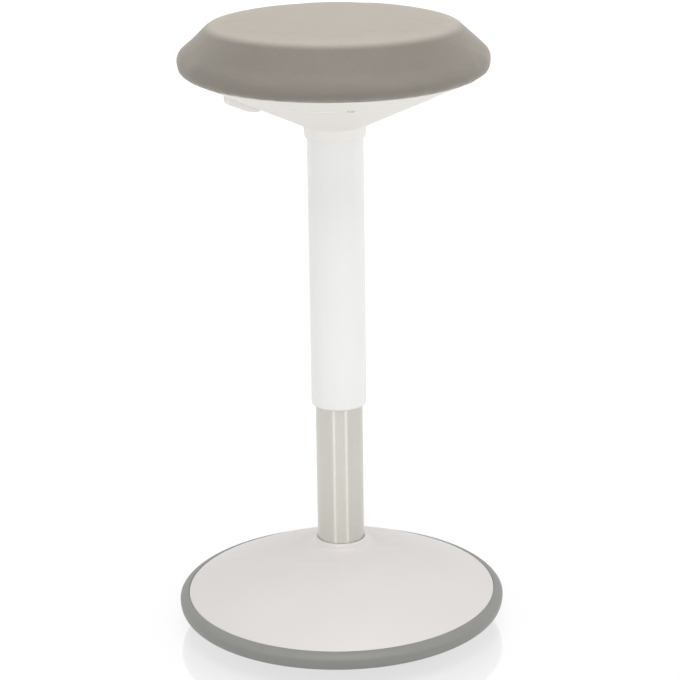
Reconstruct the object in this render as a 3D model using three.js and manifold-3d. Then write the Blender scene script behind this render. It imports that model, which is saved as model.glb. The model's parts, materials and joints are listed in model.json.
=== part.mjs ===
// A height-adjustable wobble stool: a padded round seat on a sprung column, over a foot with a rounded sole.
// Millimetres, +Z up, the origin on the floor under the column, the release lever towards -X.
import * as THREE from "three";
import { mergeVertices } from "three/addons/utils/BufferGeometryUtils.js";
import Module from "manifold-3d";

// Clearances
const gap = 0.3; // between two pieces that touch
const runningGap = 0.2; // between two that turn or slide in one another
const overrun = 2; // how far a cut passes the face that it opens
const stopClearance = 4.7; // left at both ends of the seat's travel

// The seat's height, and its travel from there
const seatTop = 669.7; // above the floor
const seatDrop = 145;
const seatRise = 120;

// Sole, dish and weight of the foot
const soleFlatRadius = 50; // the level patch that the stool stands on
const rockerRadius = 335; // the arc that the foot rolls on, seen from the side
const soleThickness = 4;
const dishThickness = 2.5;
const weightRadius = 105;
const weightTop = 24; // above the floor

// White cover of the foot
const coverRadius = 166.4;
const coverRim = 39; // height of the cover's edge above the floor
const coverWall = 3;
const coverEdgeRadius = 1.2;
const coverRise = 48.5; // from the edge up to the start of the neck
const coverBulge = 3; // how far the cone swells above a straight line
const neckWidth = 20; // from the column out to the start of the neck
const neckRise = 11.3;
const neckLip = 1.1; // the level band round the column
const neckClearance = 0.5;

// Rubber ring round the foot
const ringWidth = 10.1;
const ringWidestDrop = 14; // from the cover's edge down to the ring's widest line
const ringDrop = 17; // from the cover's edge down to the ring's lowest edge
const ringEdgeWidth = 2.3; // how far the lowest edge draws in
const ringFullness = 1.7; // 1 is a straight bevel, 2 a quarter ellipse

// Steel column of the foot and its socket
const columnRadius = 25;
const columnWall = 1.5;
const columnLift = 4; // of its foot above the weight
const columnFootTaper = 0.8;
const columnFloorThickness = 3;
const columnEdgeRadius = 0.6;
const socketHeight = 55.7;
const socketWall = 5.5;
const socketFlangeWidth = 27.2;
const socketFlangeThickness = 6;

// Guide bush in the column's mouth
const bushLength = 70;
const bushFlangeThickness = 3;

// Gas spring: pressure tube, piston rod and their bearing
const pressureTubeRadius = 14;
const pressureTubeWall = 1.5;
const pressureTubeTaper = 0.8; // at the end that wedges in the seat's hub
const pressureTubeStandOut = 1; // above the pan's floor
const pressureTubeHeadThickness = 15;
const rodRadius = 5;
const rodSpigotStep = 1;
const rodTail = 1.3; // below the clip's groove
const rodGrooveDepth = 0.8;
const pistonHeight = 14;
const pistonSpigotStep = 1.5;
const pistonCrown = 2; // of the piston above the end of the rod
const glandHeight = 18;
const washerRadius = 15;
const washerThickness = 2;
const ballRadius = 1.8;
const ballCircle = 10.5;
const cageThickness = 1.2;
const cageWidth = 5.6;
const buffer = { radius: 13, height: 14 };
const clip = { radius: 8, thickness: 1.2, slot: 4 };
const button = { radius: 4, dome: 2.5, flange: 6, flangeThickness: 3.7 };

// White sleeve that hides the gas spring
const sleeveWall = 2;
const sleeveLength = 290.6; // below the housing's collar
const sleeveEdgeRadius = 3.6;
const sleeveLipThickness = 3.2;
const sleeveLipClearance = 0.5;
const sleeveFlangeWidth = 3;
const sleeveFlangeThickness = 3;
const sleeveReach = 5; // above its own flange
const glideWall = 1.75;
const glideHeight = 20;

// Cushion, its fabric and the board in it. Insets are measured in from the seat's widest line.
const seatRadius = 159.6;
const cushionThickness = 64.7;
const crownTipInset = 75.6; // where the crown's level top and its slope would meet
const crownInset = 36;
const crownDrop = 10.8;
const shoulderInset = 29;
const shoulderDrop = 14.6;
const shoulderTipInset = 32.1; // where the tangents of top and side would meet
const shoulderTipDrop = 11.9;
const sideFootInset = 7;
const sideFootDrop = 35.6;
const sideTipInset = 16.4;
const sideTipDrop = 25.2;
const rollRadius = 15; // of the rounded edge at the seat's widest
const rollLift = 1.3; // of that edge above the underside
const rollFootAngle = 1.08; // how far below level the rounded edge runs, in radians
const tuckInset = 20.6; // where the fabric starts to lie flat under the board
const tuckTipInset = 12.6;
const tuckMargin = 4; // from the fabric's inner edge to the housing's posts
const fabricThickness = 1.5;
const boardInset = 23.6;
const boardThickness = 11.5;

// Steel plate under the board, with the hub that the gas spring wedges in
const plateThickness = 2.5;
const flangeCorner = 12;
const flangeClearance = 2; // from its corners to the housing's posts
const panLength = 84;
const panWidth = 70;
const panDepth = 32.5; // from the plate's upper face down to the pan's floor
const hubWall = 4;
const hubLength = 29; // below the pan's floor

// White housing under the seat
const housingInset = 18.6;
const housingWall = 2.5;
const housingRimDrop = 1.8; // from the seat's underside to the top of the cone
const coneDepth = 49.6;
const collarHeight = 12.1;
const collarWall = 1.85;
const collarFlare = 1.4;
const postRadius = 6;
const housingScrewInset = 33; // in from the housing's rim
const housingScrewTurn = -80; // degrees from +X to the first screw
const housingScrewSink = 8; // how far the screw's seat lies inside the cone
const housingScrewBite = 9.2; // of the screw in the board

// Release lever, its handle and its pin
const leverPivotReach = 30; // from the column's axis
const leverPivotRise = 8.8; // above the pan's floor
const leverThickness = 3;
const leverWidth = 18;
const leverInnerReach = 8; // past the column's axis
const leverEyeRadius = 6;
const leverWindowMargin = 3;
const handleInset = 67; // from the housing's rim in to the handle's root
const handleLength = 38.5;
const handleDrop = 10.8; // below the bar
const handleCrown = 4.2; // above the bar
const handleWidth = 42;
const handleGrip = 24; // of the bar in the handle
const notchMargin = 3;
const notchCorner = 6;
const pinRadius = 3;
const pinHeadWidth = 1.8;
const pinHeadThickness = 1.6;
const pinTail = 3.4;

// Fasteners
const socketBolt = { shank: 4, head: 6.5, headHeight: 5, length: 16, circle: 45 };
const dishScrew = { shank: 2.5, head: 5, length: 13.5, circle: 30, turn: 45 };
const coverScrew = { shank: 1.75, head: 4, headHeight: 1.7, length: 16, inset: 26.4, postWall: 2.75 };
const seatBolt = { shank: 3, head: 5.5, headHeight: 4 };
const teeNut = { wall: 0.9, barrelLength: 8, flange: 9.5, flangeThickness: 1.2 };
const housingScrew = { shank: 1.75, head: 3.6, headHeight: 2.4 };

// Counts, and facets round a full turn
const boltCount = 4;
const screwCount = 3;
const ballCount = 8;
const hexSides = 6;
const wideFacets = 40;
const mediumFacets = 32;
const tubeFacets = 24;
const smallFacets = 12;
const cornerSteps = 3;
const arcSteps = 5;
const weldShare = 0.001; // of the gap, how near two corners count as one

// Shares of the handle's length and height, from its root at the bottom round to its root at the top
const handleOutlineShares = [
  [0, 0.14],
  [0.18, 0],
  [0.36, 0.03],
  [0.97, 0.5],
  [1, 0.6],
  [1, 1],
  [0, 0.93],
];

// Heights in the foot, from the floor up
const dishBottom = soleThickness + gap;
const dishTop = dishBottom + dishThickness;
const weightBottom = dishTop + gap;
const socketBottom = weightTop + gap;
const socketFlangeTop = socketBottom + socketFlangeThickness;
const socketTop = socketBottom + socketHeight;
const columnBottom = weightTop + columnLift;
const columnFloorTop = columnBottom + columnFloorThickness;
const lowerWasherBottom = columnFloorTop + gap;
const lowerWasherTop = lowerWasherBottom + washerThickness;
const cageMiddle = lowerWasherTop + gap + ballRadius;
const upperWasherBottom = cageMiddle + ballRadius + gap;
const upperWasherTop = upperWasherBottom + washerThickness;
const rodShoulder = upperWasherTop + gap;
const bufferTop = rodShoulder + buffer.height;

// Heights in the seat, from the top down
const seatUnderside = seatTop - cushionThickness;
const boardBottom = seatUnderside + fabricThickness + gap;
const boardTop = boardBottom + boardThickness;
const flangeTop = boardBottom - gap;
const flangeBottom = flangeTop - plateThickness;
const panFloor = flangeTop - panDepth;
const hubBottom = panFloor - hubLength;
const housingTop = seatUnderside - gap;
const housingRimHeight = seatUnderside - housingRimDrop;
const collarTop = housingRimHeight - coneDepth;
const collarBottom = collarTop - collarHeight;
const sleeveBottom = collarBottom - sleeveLength;
const leverPivotHeight = panFloor + leverPivotRise;
const leverBottom = leverPivotHeight - leverThickness / 2;
const buttonTop = leverBottom - gap;

// The gas spring's lengths, from the seat's travel
const columnTop = hubBottom - seatDrop - stopClearance - bushFlangeThickness - gap;
const pressureTubeBottom = bufferTop + seatDrop + stopClearance;
const pressureTubeTop = panFloor + pressureTubeStandOut;
const chamberTop = pressureTubeTop - pressureTubeHeadThickness;
const pistonBottom = pressureTubeBottom + glandHeight + seatRise + stopClearance;
const rodTop = pistonBottom + pistonHeight - pistonCrown - gap;

// Radii that follow
const neckFootRadius = columnRadius + neckWidth;
const columnFootRadius = columnRadius - columnFootTaper;
const socketRadius = columnRadius + gap + socketWall;
const tubeBore = pressureTubeRadius - pressureTubeWall;
const pressureTubeTipRadius = pressureTubeRadius - pressureTubeTaper;
const rodSpigotRadius = rodRadius - rodSpigotStep;
const spigotHole = rodSpigotRadius + gap;
const glideRadius = columnRadius + runningGap + glideWall;
const sleeveBore = glideRadius + gap;
const sleeveRadius = sleeveBore + sleeveWall;
const collarBore = sleeveRadius + gap;
const collarBottomRadius = collarBore + collarWall;
const collarTopRadius = collarBottomRadius + collarFlare;
const housingRadius = seatRadius - housingInset;
const housingSlope = (housingRimHeight - collarTop) / (housingRadius - collarTopRadius);
const housingWallUp = housingWall * Math.hypot(1, housingSlope);
const housingScrewCircle = housingRadius - housingScrewInset;
const seatBoltReach = (housingScrewCircle - postRadius - flangeClearance - flangeCorner) / Math.SQRT2;
const flangeSize = 2 * (seatBoltReach + flangeCorner);
const handleReach = housingRadius - handleInset;
const screwSeat = coneHeight(housingScrewCircle) + housingScrewSink;
const coverScrewCircle = coverRadius - coverScrew.inset;
const coverScrewLean = Math.asin((coverScrewCircle - soleFlatRadius) / rockerRadius);

// Finishes
const whitePlastic = finish(0xdad6d5, 0.5, 0);
const whiteTube = finish(0xe9e9e9, 0.42, 0);
const greyRubber = finish(0x8e8e8c, 0.75, 0);
const soleRubber = finish(0x6f6f6e, 0.85, 0);
const satinSteel = finish(0xcbcac5, 0.3, 1);
const zincSteel = finish(0xb9bbbd, 0.38, 1);
const blackSteel = finish(0x2b2c2e, 0.45, 0.6);
const castIron = finish(0x3a3b3d, 0.7, 0.4);
const blackNylon = finish(0x26272a, 0.55, 0);
const naturalNylon = finish(0xd9d5c8, 0.5, 0);
const birchPlywood = finish(0xd0b389, 0.7, 0);
const greyFabric = finish(0xaaa49b, 0.95, 0);
const seatFoam = finish(0xd8d2bb, 0.95, 0);
const blackRubber = finish(0x1b1b1c, 0.8, 0);

const wasm = await Module();
wasm.setup();
const stool = new THREE.Group();

// Shape helpers
function finish(color, roughness, metalness) {
  return new THREE.MeshStandardMaterial({ color, roughness, metalness });
}

function coneHeight(radius) {
  return collarTop + (radius - collarTopRadius) * housingSlope;
}

function at(radius, height) {
  return new THREE.Vector2(radius, height);
}

// A solid of revolution about Z. The outline may run either way round; ends off the axis are joined.
function turned(outline, facets) {
  const points = outline.map((point) => point.clone());
  if (points[0].x > 0) points.push(points[0].clone());
  if (THREE.ShapeUtils.area(points) < 0) points.reverse();
  return new THREE.LatheGeometry(points, facets).rotateX(Math.PI / 2);
}

function rod(radius, bottom, top, facets) {
  return turned([at(0, bottom), at(radius, bottom), at(radius, top), at(0, top)], facets);
}

function washer(inner, outer, bottom, top, facets) {
  return turned([at(inner, bottom), at(outer, bottom), at(outer, top), at(inner, top)], facets);
}

function block(length, width, bottom, top) {
  const height = top - bottom;
  return new THREE.BoxGeometry(length, width, height).translate(0, 0, bottom + height / 2);
}

// A plate with rounded corners, its sides along X and Y, centred on the axis
function roundedPlate(length, width, corner, bottom, top) {
  const x = length / 2 - corner;
  const y = width / 2 - corner;
  const shape = new THREE.Shape();
  shape.absarc(x, y, corner, 0, Math.PI / 2);
  shape.absarc(-x, y, corner, Math.PI / 2, Math.PI);
  shape.absarc(-x, -y, corner, Math.PI, (Math.PI * 3) / 2);
  shape.absarc(x, -y, corner, (Math.PI * 3) / 2, Math.PI * 2);
  const settings = { depth: top - bottom, bevelEnabled: false, curveSegments: cornerSteps };
  return new THREE.ExtrudeGeometry(shape, settings).translate(0, 0, bottom);
}

// One closed mesh as a manifold solid
function solid(geometry) {
  const bare = geometry.clone();
  bare.deleteAttribute("normal");
  bare.deleteAttribute("uv");
  const merged = mergeVertices(bare, gap * weldShare);
  const corners = Array.from(merged.index.array);
  const kept = [];
  for (let i = 0; i < corners.length; i += 3) {
    const [a, b, c] = corners.slice(i, i + 3);
    if (a !== b && b !== c && c !== a) kept.push(a, b, c);
  }
  const vertProperties = merged.attributes.position.array;
  return new wasm.Manifold(new wasm.Mesh({ numProp: 3, vertProperties, triVerts: new Uint32Array(kept) }));
}

function joined(...shapes) {
  return shapes.map(solid).reduce((whole, shape) => whole.add(shape));
}

function cut(whole, ...cutters) {
  return cutters.map(solid).reduce((rest, cutter) => rest.subtract(cutter), whole);
}

function geometryOf(whole) {
  const mesh = whole.getMesh();
  const geometry = new THREE.BufferGeometry();
  geometry.setAttribute("position", new THREE.BufferAttribute(Float32Array.from(mesh.vertProperties), 3));
  geometry.setIndex(new THREE.BufferAttribute(Uint32Array.from(mesh.triVerts), 1));
  const loose = geometry.toNonIndexed();
  loose.computeVertexNormals();
  return loose;
}

function add(name, shape, material) {
  const geometry = shape.isBufferGeometry ? shape : geometryOf(shape);
  const mesh = new THREE.Mesh(geometry, material);
  mesh.name = name;
  stool.add(mesh);
}

function addEach(name, shapes, material) {
  shapes.forEach((shape, i) => add(`${name}_${i + 1}`, shape, material));
}

// The same shape at several places round the axis
function around(count, circle, firstDegrees, make) {
  const step = (Math.PI * 2) / count;
  return Array.from({ length: count }, (_, i) => {
    const angle = THREE.MathUtils.degToRad(firstDegrees) + i * step;
    return make().translate(circle * Math.cos(angle), circle * Math.sin(angle), 0);
  });
}

function everyOther(points) {
  return points.filter((_, i) => i % 2 === 0);
}

// A line beside another, shifted to its right by a distance, the ends square to it
function beside(line, distance) {
  return line.map((point, i) => {
    const before = line[Math.max(i - 1, 0)];
    const after = line[Math.min(i + 1, line.length - 1)];
    const along = after.clone().sub(before).normalize();
    return at(Math.max(point.x + along.y * distance, 0), point.y - along.x * distance);
  });
}

// Height above the floor of the rocker's arc, raised along its normal by a depth
function bowlHeight(depth, radius) {
  const run = Math.max(radius - soleFlatRadius, 0);
  return rockerRadius - Math.sqrt((rockerRadius - depth) ** 2 - run ** 2);
}

function bowlLine(depth, outer) {
  const line = [at(0, depth), at(soleFlatRadius, depth)];
  for (let i = 1; i <= arcSteps; i += 1) {
    const radius = soleFlatRadius + ((outer - soleFlatRadius) * i) / arcSteps;
    line.push(at(radius, bowlHeight(depth, radius)));
  }
  return line;
}

// A shell between two depths, out to the cover's edge
function bowl(low, high) {
  return turned([...bowlLine(low, coverRadius), ...bowlLine(high, coverRadius).reverse()], wideFacets);
}

// The same shape at the cover's screws, where it stands on the rocker's arc and leans in with it
function roundTheFoot(make) {
  const step = (Math.PI * 2) / screwCount;
  const rise = bowlHeight(0, coverScrewCircle);
  return Array.from({ length: screwCount }, (_, i) =>
    make()
      .rotateY(-coverScrewLean)
      .translate(coverScrewCircle, 0, rise)
      .rotateZ(i * step),
  );
}

// Sole: a rubber shell, level in the middle and rounded out to the edge
function sole() {
  const shell = solid(bowl(0, soleThickness));
  const pocketFloor = dishBottom - coverScrew.headHeight - 2 * gap;
  const pockets = roundTheFoot(() => rod(coverScrew.head + gap, pocketFloor, dishTop, smallFacets));
  return cut(shell, ...pockets);
}

// Dish: the stiff pan between the sole and everything above
function dish() {
  const shell = solid(bowl(dishBottom, dishTop));
  const sinks = around(boltCount, dishScrew.circle, dishScrew.turn, () =>
    turned(
      [
        at(0, dishBottom - overrun),
        at(dishScrew.head + gap, dishBottom - overrun),
        at(dishScrew.head + gap, dishBottom),
        at(dishScrew.shank + gap, dishTop),
        at(dishScrew.shank + gap, dishTop + overrun),
        at(0, dishTop + overrun),
      ],
      smallFacets,
    ),
  );
  const holes = roundTheFoot(() => rod(coverScrew.shank + gap, -overrun, dishTop + overrun, smallFacets));
  return cut(shell, ...sinks, ...holes);
}

// Weight: a cast iron lens that keeps the stool upright
function weight() {
  const edge = bowlLine(weightBottom, weightRadius);
  const disc = solid(turned([...edge, at(weightRadius, weightTop), at(0, weightTop)], mediumFacets));
  const screwHoles = around(boltCount, dishScrew.circle, dishScrew.turn, () =>
    rod(dishScrew.shank + gap, 0, dishBottom + dishScrew.length + gap, smallFacets),
  );
  const boltHoles = around(boltCount, socketBolt.circle, 0, () =>
    rod(socketBolt.shank + gap, socketFlangeTop - socketBolt.length, weightTop + overrun, smallFacets),
  );
  return cut(disc, ...screwHoles, ...boltHoles);
}

function columnRadiusAt(height) {
  const share = THREE.MathUtils.clamp((height - columnBottom) / (socketTop - columnBottom), 0, 1);
  return columnFootRadius + (columnRadius - columnFootRadius) * share;
}

// Socket: the flanged steel hub that the column wedges in
function socket() {
  const flangeRadius = socketRadius + socketFlangeWidth;
  const hub = solid(
    turned(
      [
        at(columnRadiusAt(socketBottom) + gap, socketBottom),
        at(flangeRadius, socketBottom),
        at(flangeRadius, socketFlangeTop),
        at(socketRadius, socketFlangeTop),
        at(socketRadius, socketTop),
        at(columnRadius + gap, socketTop),
      ],
      mediumFacets,
    ),
  );
  const holes = around(boltCount, socketBolt.circle, 0, () =>
    rod(socketBolt.shank + gap, socketBottom - overrun, socketFlangeTop + overrun, smallFacets),
  );
  return cut(hub, ...holes);
}

// Cover: a white cone, a little swollen, that sweeps up into a short neck
function coverHeight(radius) {
  const share = (coverRadius - radius) / (coverRadius - neckFootRadius);
  return coverRim + coverRise * share + 4 * coverBulge * share * (1 - share);
}

function coverLine() {
  const path = new THREE.Path();
  const corner = coverRadius - coverEdgeRadius;
  const neckInner = columnRadius + neckClearance;
  const neckFoot = coverHeight(neckFootRadius);
  const neckTop = neckFoot + neckRise;
  const neckSlope = (coverRise - 4 * coverBulge) / (coverRadius - neckFootRadius);
  const tipRadius = (neckFootRadius + neckInner + neckLip) / 2;
  const tipHeight = neckFoot + (neckFootRadius - tipRadius) * neckSlope;
  path.moveTo(coverRadius, coverRim - coverEdgeRadius);
  path.quadraticCurveTo(coverRadius, coverRim, corner, coverHeight(corner));
  const line = path.getPoints(2);
  for (let i = 1; i <= arcSteps; i += 1) {
    const radius = corner + ((neckFootRadius - corner) * i) / arcSteps;
    line.push(at(radius, coverHeight(radius)));
  }
  const neck = new THREE.Path();
  neck.moveTo(neckFootRadius, neckFoot);
  neck.quadraticCurveTo(tipRadius, tipHeight, neckInner + neckLip, neckTop);
  return [...line, ...neck.getPoints(cornerSteps).slice(1), at(neckInner, neckTop)];
}

function cover() {
  const outer = coverLine();
  const skirtRadius = coverRadius - coverWall;
  const inner = everyOther(outer.filter((point) => point.x <= skirtRadius).reverse()).map((point) =>
    at(point.x, point.y - coverWall),
  );
  const skirtFoot = bowlHeight(dishTop, coverRadius) + gap;
  const skirt = [
    at(skirtRadius, coverHeight(skirtRadius) - coverWall),
    at(skirtRadius, skirtFoot),
    at(coverRadius, skirtFoot),
  ];
  const shell = solid(turned([...outer, ...inner, ...skirt], wideFacets));
  const ceiling = outer.map((point) => at(point.x, point.y - coverWall / 2));
  const room = [at(0, 0), at(coverRadius, 0), ...ceiling, at(0, ceiling.at(-1).y)];
  const underCover = solid(turned(room, wideFacets));
  const coverPost = coverScrew.shank + coverScrew.postWall;
  const posts = roundTheFoot(() => rod(coverPost, dishTop + 2 * gap, coverRim + coverRise, smallFacets));
  const trimmedPosts = posts.map((post) => solid(post).intersect(underCover));
  const whole = trimmedPosts.reduce((sum, post) => sum.add(post), shell);
  const pilotTop = dishBottom - gap + coverScrew.length + gap;
  const pilots = roundTheFoot(() => rod(coverScrew.shank + gap, dishBottom, pilotTop, smallFacets));
  return cut(whole, ...pilots);
}

// Ring: a rubber band, flat against the cover and bulging outwards down to a tight lower edge
function ring() {
  const inner = coverRadius + gap;
  const ringRadius = inner + ringWidth;
  const widest = coverRim - ringWidestDrop;
  const lowest = coverRim - ringDrop;
  const edge = new THREE.Path();
  edge.moveTo(ringRadius - ringEdgeWidth, lowest);
  edge.quadraticCurveTo(ringRadius, lowest, ringRadius, widest);
  const line = [at(inner, lowest), ...edge.getPoints(2)];
  for (let i = 1; i < arcSteps; i += 1) {
    const angle = (Math.PI / 2) * (i / arcSteps);
    const across = Math.cos(angle) ** (2 / ringFullness);
    const up = Math.sin(angle) ** (2 / ringFullness);
    line.push(at(inner + (ringRadius - inner) * across, widest + ringWidestDrop * up));
  }
  line.push(at(inner, coverRim));
  return turned(line, wideFacets);
}

// Column: a steel tube with a tapered, closed foot
function column() {
  const bore = columnRadius - columnWall;
  return turned(
    [
      at(spigotHole, columnBottom),
      at(columnFootRadius, columnBottom),
      at(columnRadius, socketTop),
      at(columnRadius, columnTop - columnEdgeRadius),
      at(columnRadius - columnEdgeRadius, columnTop),
      at(bore, columnTop),
      at(bore, socketTop),
      at(columnFootRadius - columnWall, columnFloorTop),
      at(spigotHole, columnFloorTop),
    ],
    mediumFacets,
  );
}

function bush() {
  const bore = pressureTubeRadius + runningGap;
  const outer = columnRadius - columnWall - gap;
  const flangeFoot = columnTop + gap;
  return turned(
    [
      at(bore, columnTop - bushLength),
      at(outer, columnTop - bushLength),
      at(outer, flangeFoot),
      at(columnRadius, flangeFoot),
      at(columnRadius, flangeFoot + bushFlangeThickness),
      at(bore, flangeFoot + bushFlangeThickness),
    ],
    tubeFacets,
  );
}

// Thrust bearing: balls held in a flat cage
function ballCage() {
  const low = cageMiddle - cageThickness / 2;
  const inner = ballCircle - cageWidth / 2;
  const plate = washer(inner, inner + cageWidth, low, low + cageThickness, smallFacets);
  const balls = around(ballCount, ballCircle, 0, () => {
    const ball = new THREE.SphereGeometry(ballRadius, hexSides, cornerSteps);
    return ball.rotateX(Math.PI / 2).translate(0, 0, cageMiddle);
  });
  return joined(plate, ...balls);
}

// Piston rod: it stands on the bearing, its spigot clipped under the column's floor
function pistonRod() {
  const clipTop = columnBottom - gap;
  const clipBottom = clipTop - clip.thickness;
  const rodBottom = clipBottom - gap - rodTail;
  const groove = rodSpigotRadius - rodGrooveDepth;
  const tip = rodRadius - pistonSpigotStep;
  return turned(
    [
      at(0, rodBottom),
      at(rodSpigotRadius, rodBottom),
      at(rodSpigotRadius, clipBottom - gap),
      at(groove, clipBottom - gap),
      at(groove, clipTop + gap),
      at(rodSpigotRadius, clipTop + gap),
      at(rodSpigotRadius, rodShoulder),
      at(rodRadius, rodShoulder),
      at(rodRadius, pistonBottom - gap),
      at(tip, pistonBottom - gap),
      at(tip, rodTop),
      at(0, rodTop),
    ],
    smallFacets,
  );
}

function piston() {
  const hole = rodRadius - pistonSpigotStep + gap;
  return turned(
    [
      at(hole, pistonBottom),
      at(tubeBore - gap, pistonBottom),
      at(tubeBore - gap, pistonBottom + pistonHeight),
      at(0, pistonBottom + pistonHeight),
      at(0, rodTop + gap),
      at(hole, rodTop + gap),
    ],
    tubeFacets,
  );
}

// An open ring that springs into a groove
function openClip(inner, bottom) {
  const whole = solid(washer(inner, clip.radius, bottom, bottom + clip.thickness, smallFacets));
  const mouth = block(clip.radius * 2, clip.slot, bottom - overrun, bottom + clip.thickness + overrun);
  return cut(whole, mouth.translate(clip.radius, 0, 0));
}

function pressureTube() {
  const pinHole = button.radius + runningGap;
  return turned(
    [
      at(tubeBore, pressureTubeBottom),
      at(pressureTubeRadius, pressureTubeBottom),
      at(pressureTubeRadius, hubBottom),
      at(pressureTubeTipRadius, pressureTubeTop),
      at(pinHole, pressureTubeTop),
      at(pinHole, chamberTop),
      at(tubeBore, chamberTop),
    ],
    tubeFacets,
  );
}

function releaseButton() {
  const flangeHigh = chamberTop - gap;
  const flangeLow = flangeHigh - button.flangeThickness;
  const dome = new THREE.Path();
  dome.moveTo(button.radius, buttonTop - button.dome);
  dome.quadraticCurveTo(button.radius, buttonTop, 0, buttonTop);
  return turned(
    [
      at(0, flangeLow),
      at(button.flange, flangeLow),
      at(button.flange, flangeHigh),
      at(button.radius, flangeHigh),
      ...dome.getPoints(cornerSteps),
    ],
    smallFacets,
  );
}

// Sleeve: the white tube that hangs in the housing's collar, its lower edge turned in to the column
function sleeve() {
  const lip = columnRadius + sleeveLipClearance;
  const flangeRadius = sleeveRadius + sleeveFlangeWidth;
  const flangeLow = coneHeight(flangeRadius) + housingWallUp + gap;
  const flangeHigh = flangeLow + sleeveFlangeThickness;
  const top = flangeHigh + sleeveReach;
  const edge = new THREE.Path();
  edge.moveTo(sleeveRadius - sleeveEdgeRadius, sleeveBottom);
  edge.quadraticCurveTo(sleeveRadius, sleeveBottom, sleeveRadius, sleeveBottom + sleeveEdgeRadius);
  return turned(
    [
      at(lip, sleeveBottom),
      ...edge.getPoints(cornerSteps),
      at(sleeveRadius, flangeLow),
      at(flangeRadius, flangeLow),
      at(flangeRadius, flangeHigh),
      at(sleeveRadius, flangeHigh),
      at(sleeveRadius, top),
      at(sleeveBore, top),
      at(sleeveBore, sleeveBottom + sleeveLipThickness),
      at(lip, sleeveBottom + sleeveLipThickness),
    ],
    mediumFacets,
  );
}

// A point of the cushion's outline, in from its widest line and down from its top
function under(inset, drop) {
  return at(seatRadius - inset, seatTop - drop);
}

// Cushion: a low crown, a neat shoulder, sides that swell as they fall, and a rounded edge tucked under
function cushionLine() {
  const rollCentre = at(seatRadius - rollRadius, seatUnderside + rollRadius + rollLift);
  const crown = under(crownInset, crownDrop);
  const shoulderTip = under(shoulderTipInset, shoulderTipDrop);
  const shoulder = under(shoulderInset, shoulderDrop);
  const sideTip = under(sideTipInset, sideTipDrop);
  const sideFoot = under(sideFootInset, sideFootDrop);
  const rollStart = Math.atan2(sideFoot.y - rollCentre.y, sideFoot.x - rollCentre.x);
  const path = new THREE.Path();
  path.moveTo(0, seatTop);
  path.quadraticCurveTo(seatRadius - crownTipInset, seatTop, crown.x, crown.y);
  path.quadraticCurveTo(shoulderTip.x, shoulderTip.y, shoulder.x, shoulder.y);
  path.quadraticCurveTo(sideTip.x, sideTip.y, sideFoot.x, sideFoot.y);
  const roll = Array.from({ length: arcSteps }, (_, i) => {
    const angle = rollStart + ((-rollFootAngle - rollStart) * (i + 1)) / arcSteps;
    return at(rollCentre.x + rollRadius * Math.cos(angle), rollCentre.y + rollRadius * Math.sin(angle));
  });
  const last = roll.at(-1);
  const tuck = new THREE.Path();
  tuck.moveTo(last.x, last.y);
  tuck.quadraticCurveTo(seatRadius - tuckTipInset, seatUnderside, seatRadius - tuckInset, seatUnderside);
  return [...path.getPoints(cornerSteps), ...roll, ...tuck.getPoints(2).slice(1)];
}

function fabric() {
  const innerEdge = housingScrewCircle + postRadius + tuckMargin;
  const outer = [...cushionLine(), at(innerEdge, seatUnderside)];
  const inner = everyOther(beside(outer, fabricThickness));
  return turned([...outer, ...inner.reverse()], wideFacets);
}

function foam() {
  const line = everyOther(beside(cushionLine(), fabricThickness + gap));
  const inner = seatRadius - boardInset + gap;
  const recess = [at(inner, boardBottom), at(inner, boardTop + gap), at(0, boardTop + gap)];
  return turned([...line, ...recess], wideFacets);
}

function board() {
  const disc = solid(rod(seatRadius - boardInset, boardBottom, boardTop, wideFacets));
  const hole = seatBolt.shank + 2 * gap + teeNut.wall;
  const pocketFloor = boardTop - teeNut.flangeThickness - gap;
  const corners = atCorners(() =>
    turned(
      [
        at(0, boardBottom - overrun),
        at(hole, boardBottom - overrun),
        at(hole, pocketFloor),
        at(teeNut.flange + gap, pocketFloor),
        at(teeNut.flange + gap, boardTop + overrun),
        at(0, boardTop + overrun),
      ],
      smallFacets,
    ),
  );
  const pilotTop = boardBottom + housingScrewBite + gap;
  const pilots = atHousingScrews(() =>
    rod(housingScrew.shank + gap, boardBottom - overrun, pilotTop, smallFacets),
  );
  return cut(disc, ...corners, ...pilots);
}

// The same shape at the four bolts of the seat plate
function atCorners(make) {
  const places = [
    [seatBoltReach, seatBoltReach],
    [-seatBoltReach, seatBoltReach],
    [-seatBoltReach, -seatBoltReach],
    [seatBoltReach, -seatBoltReach],
  ];
  return places.map(([x, y]) => make().translate(x, y, 0));
}

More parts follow.
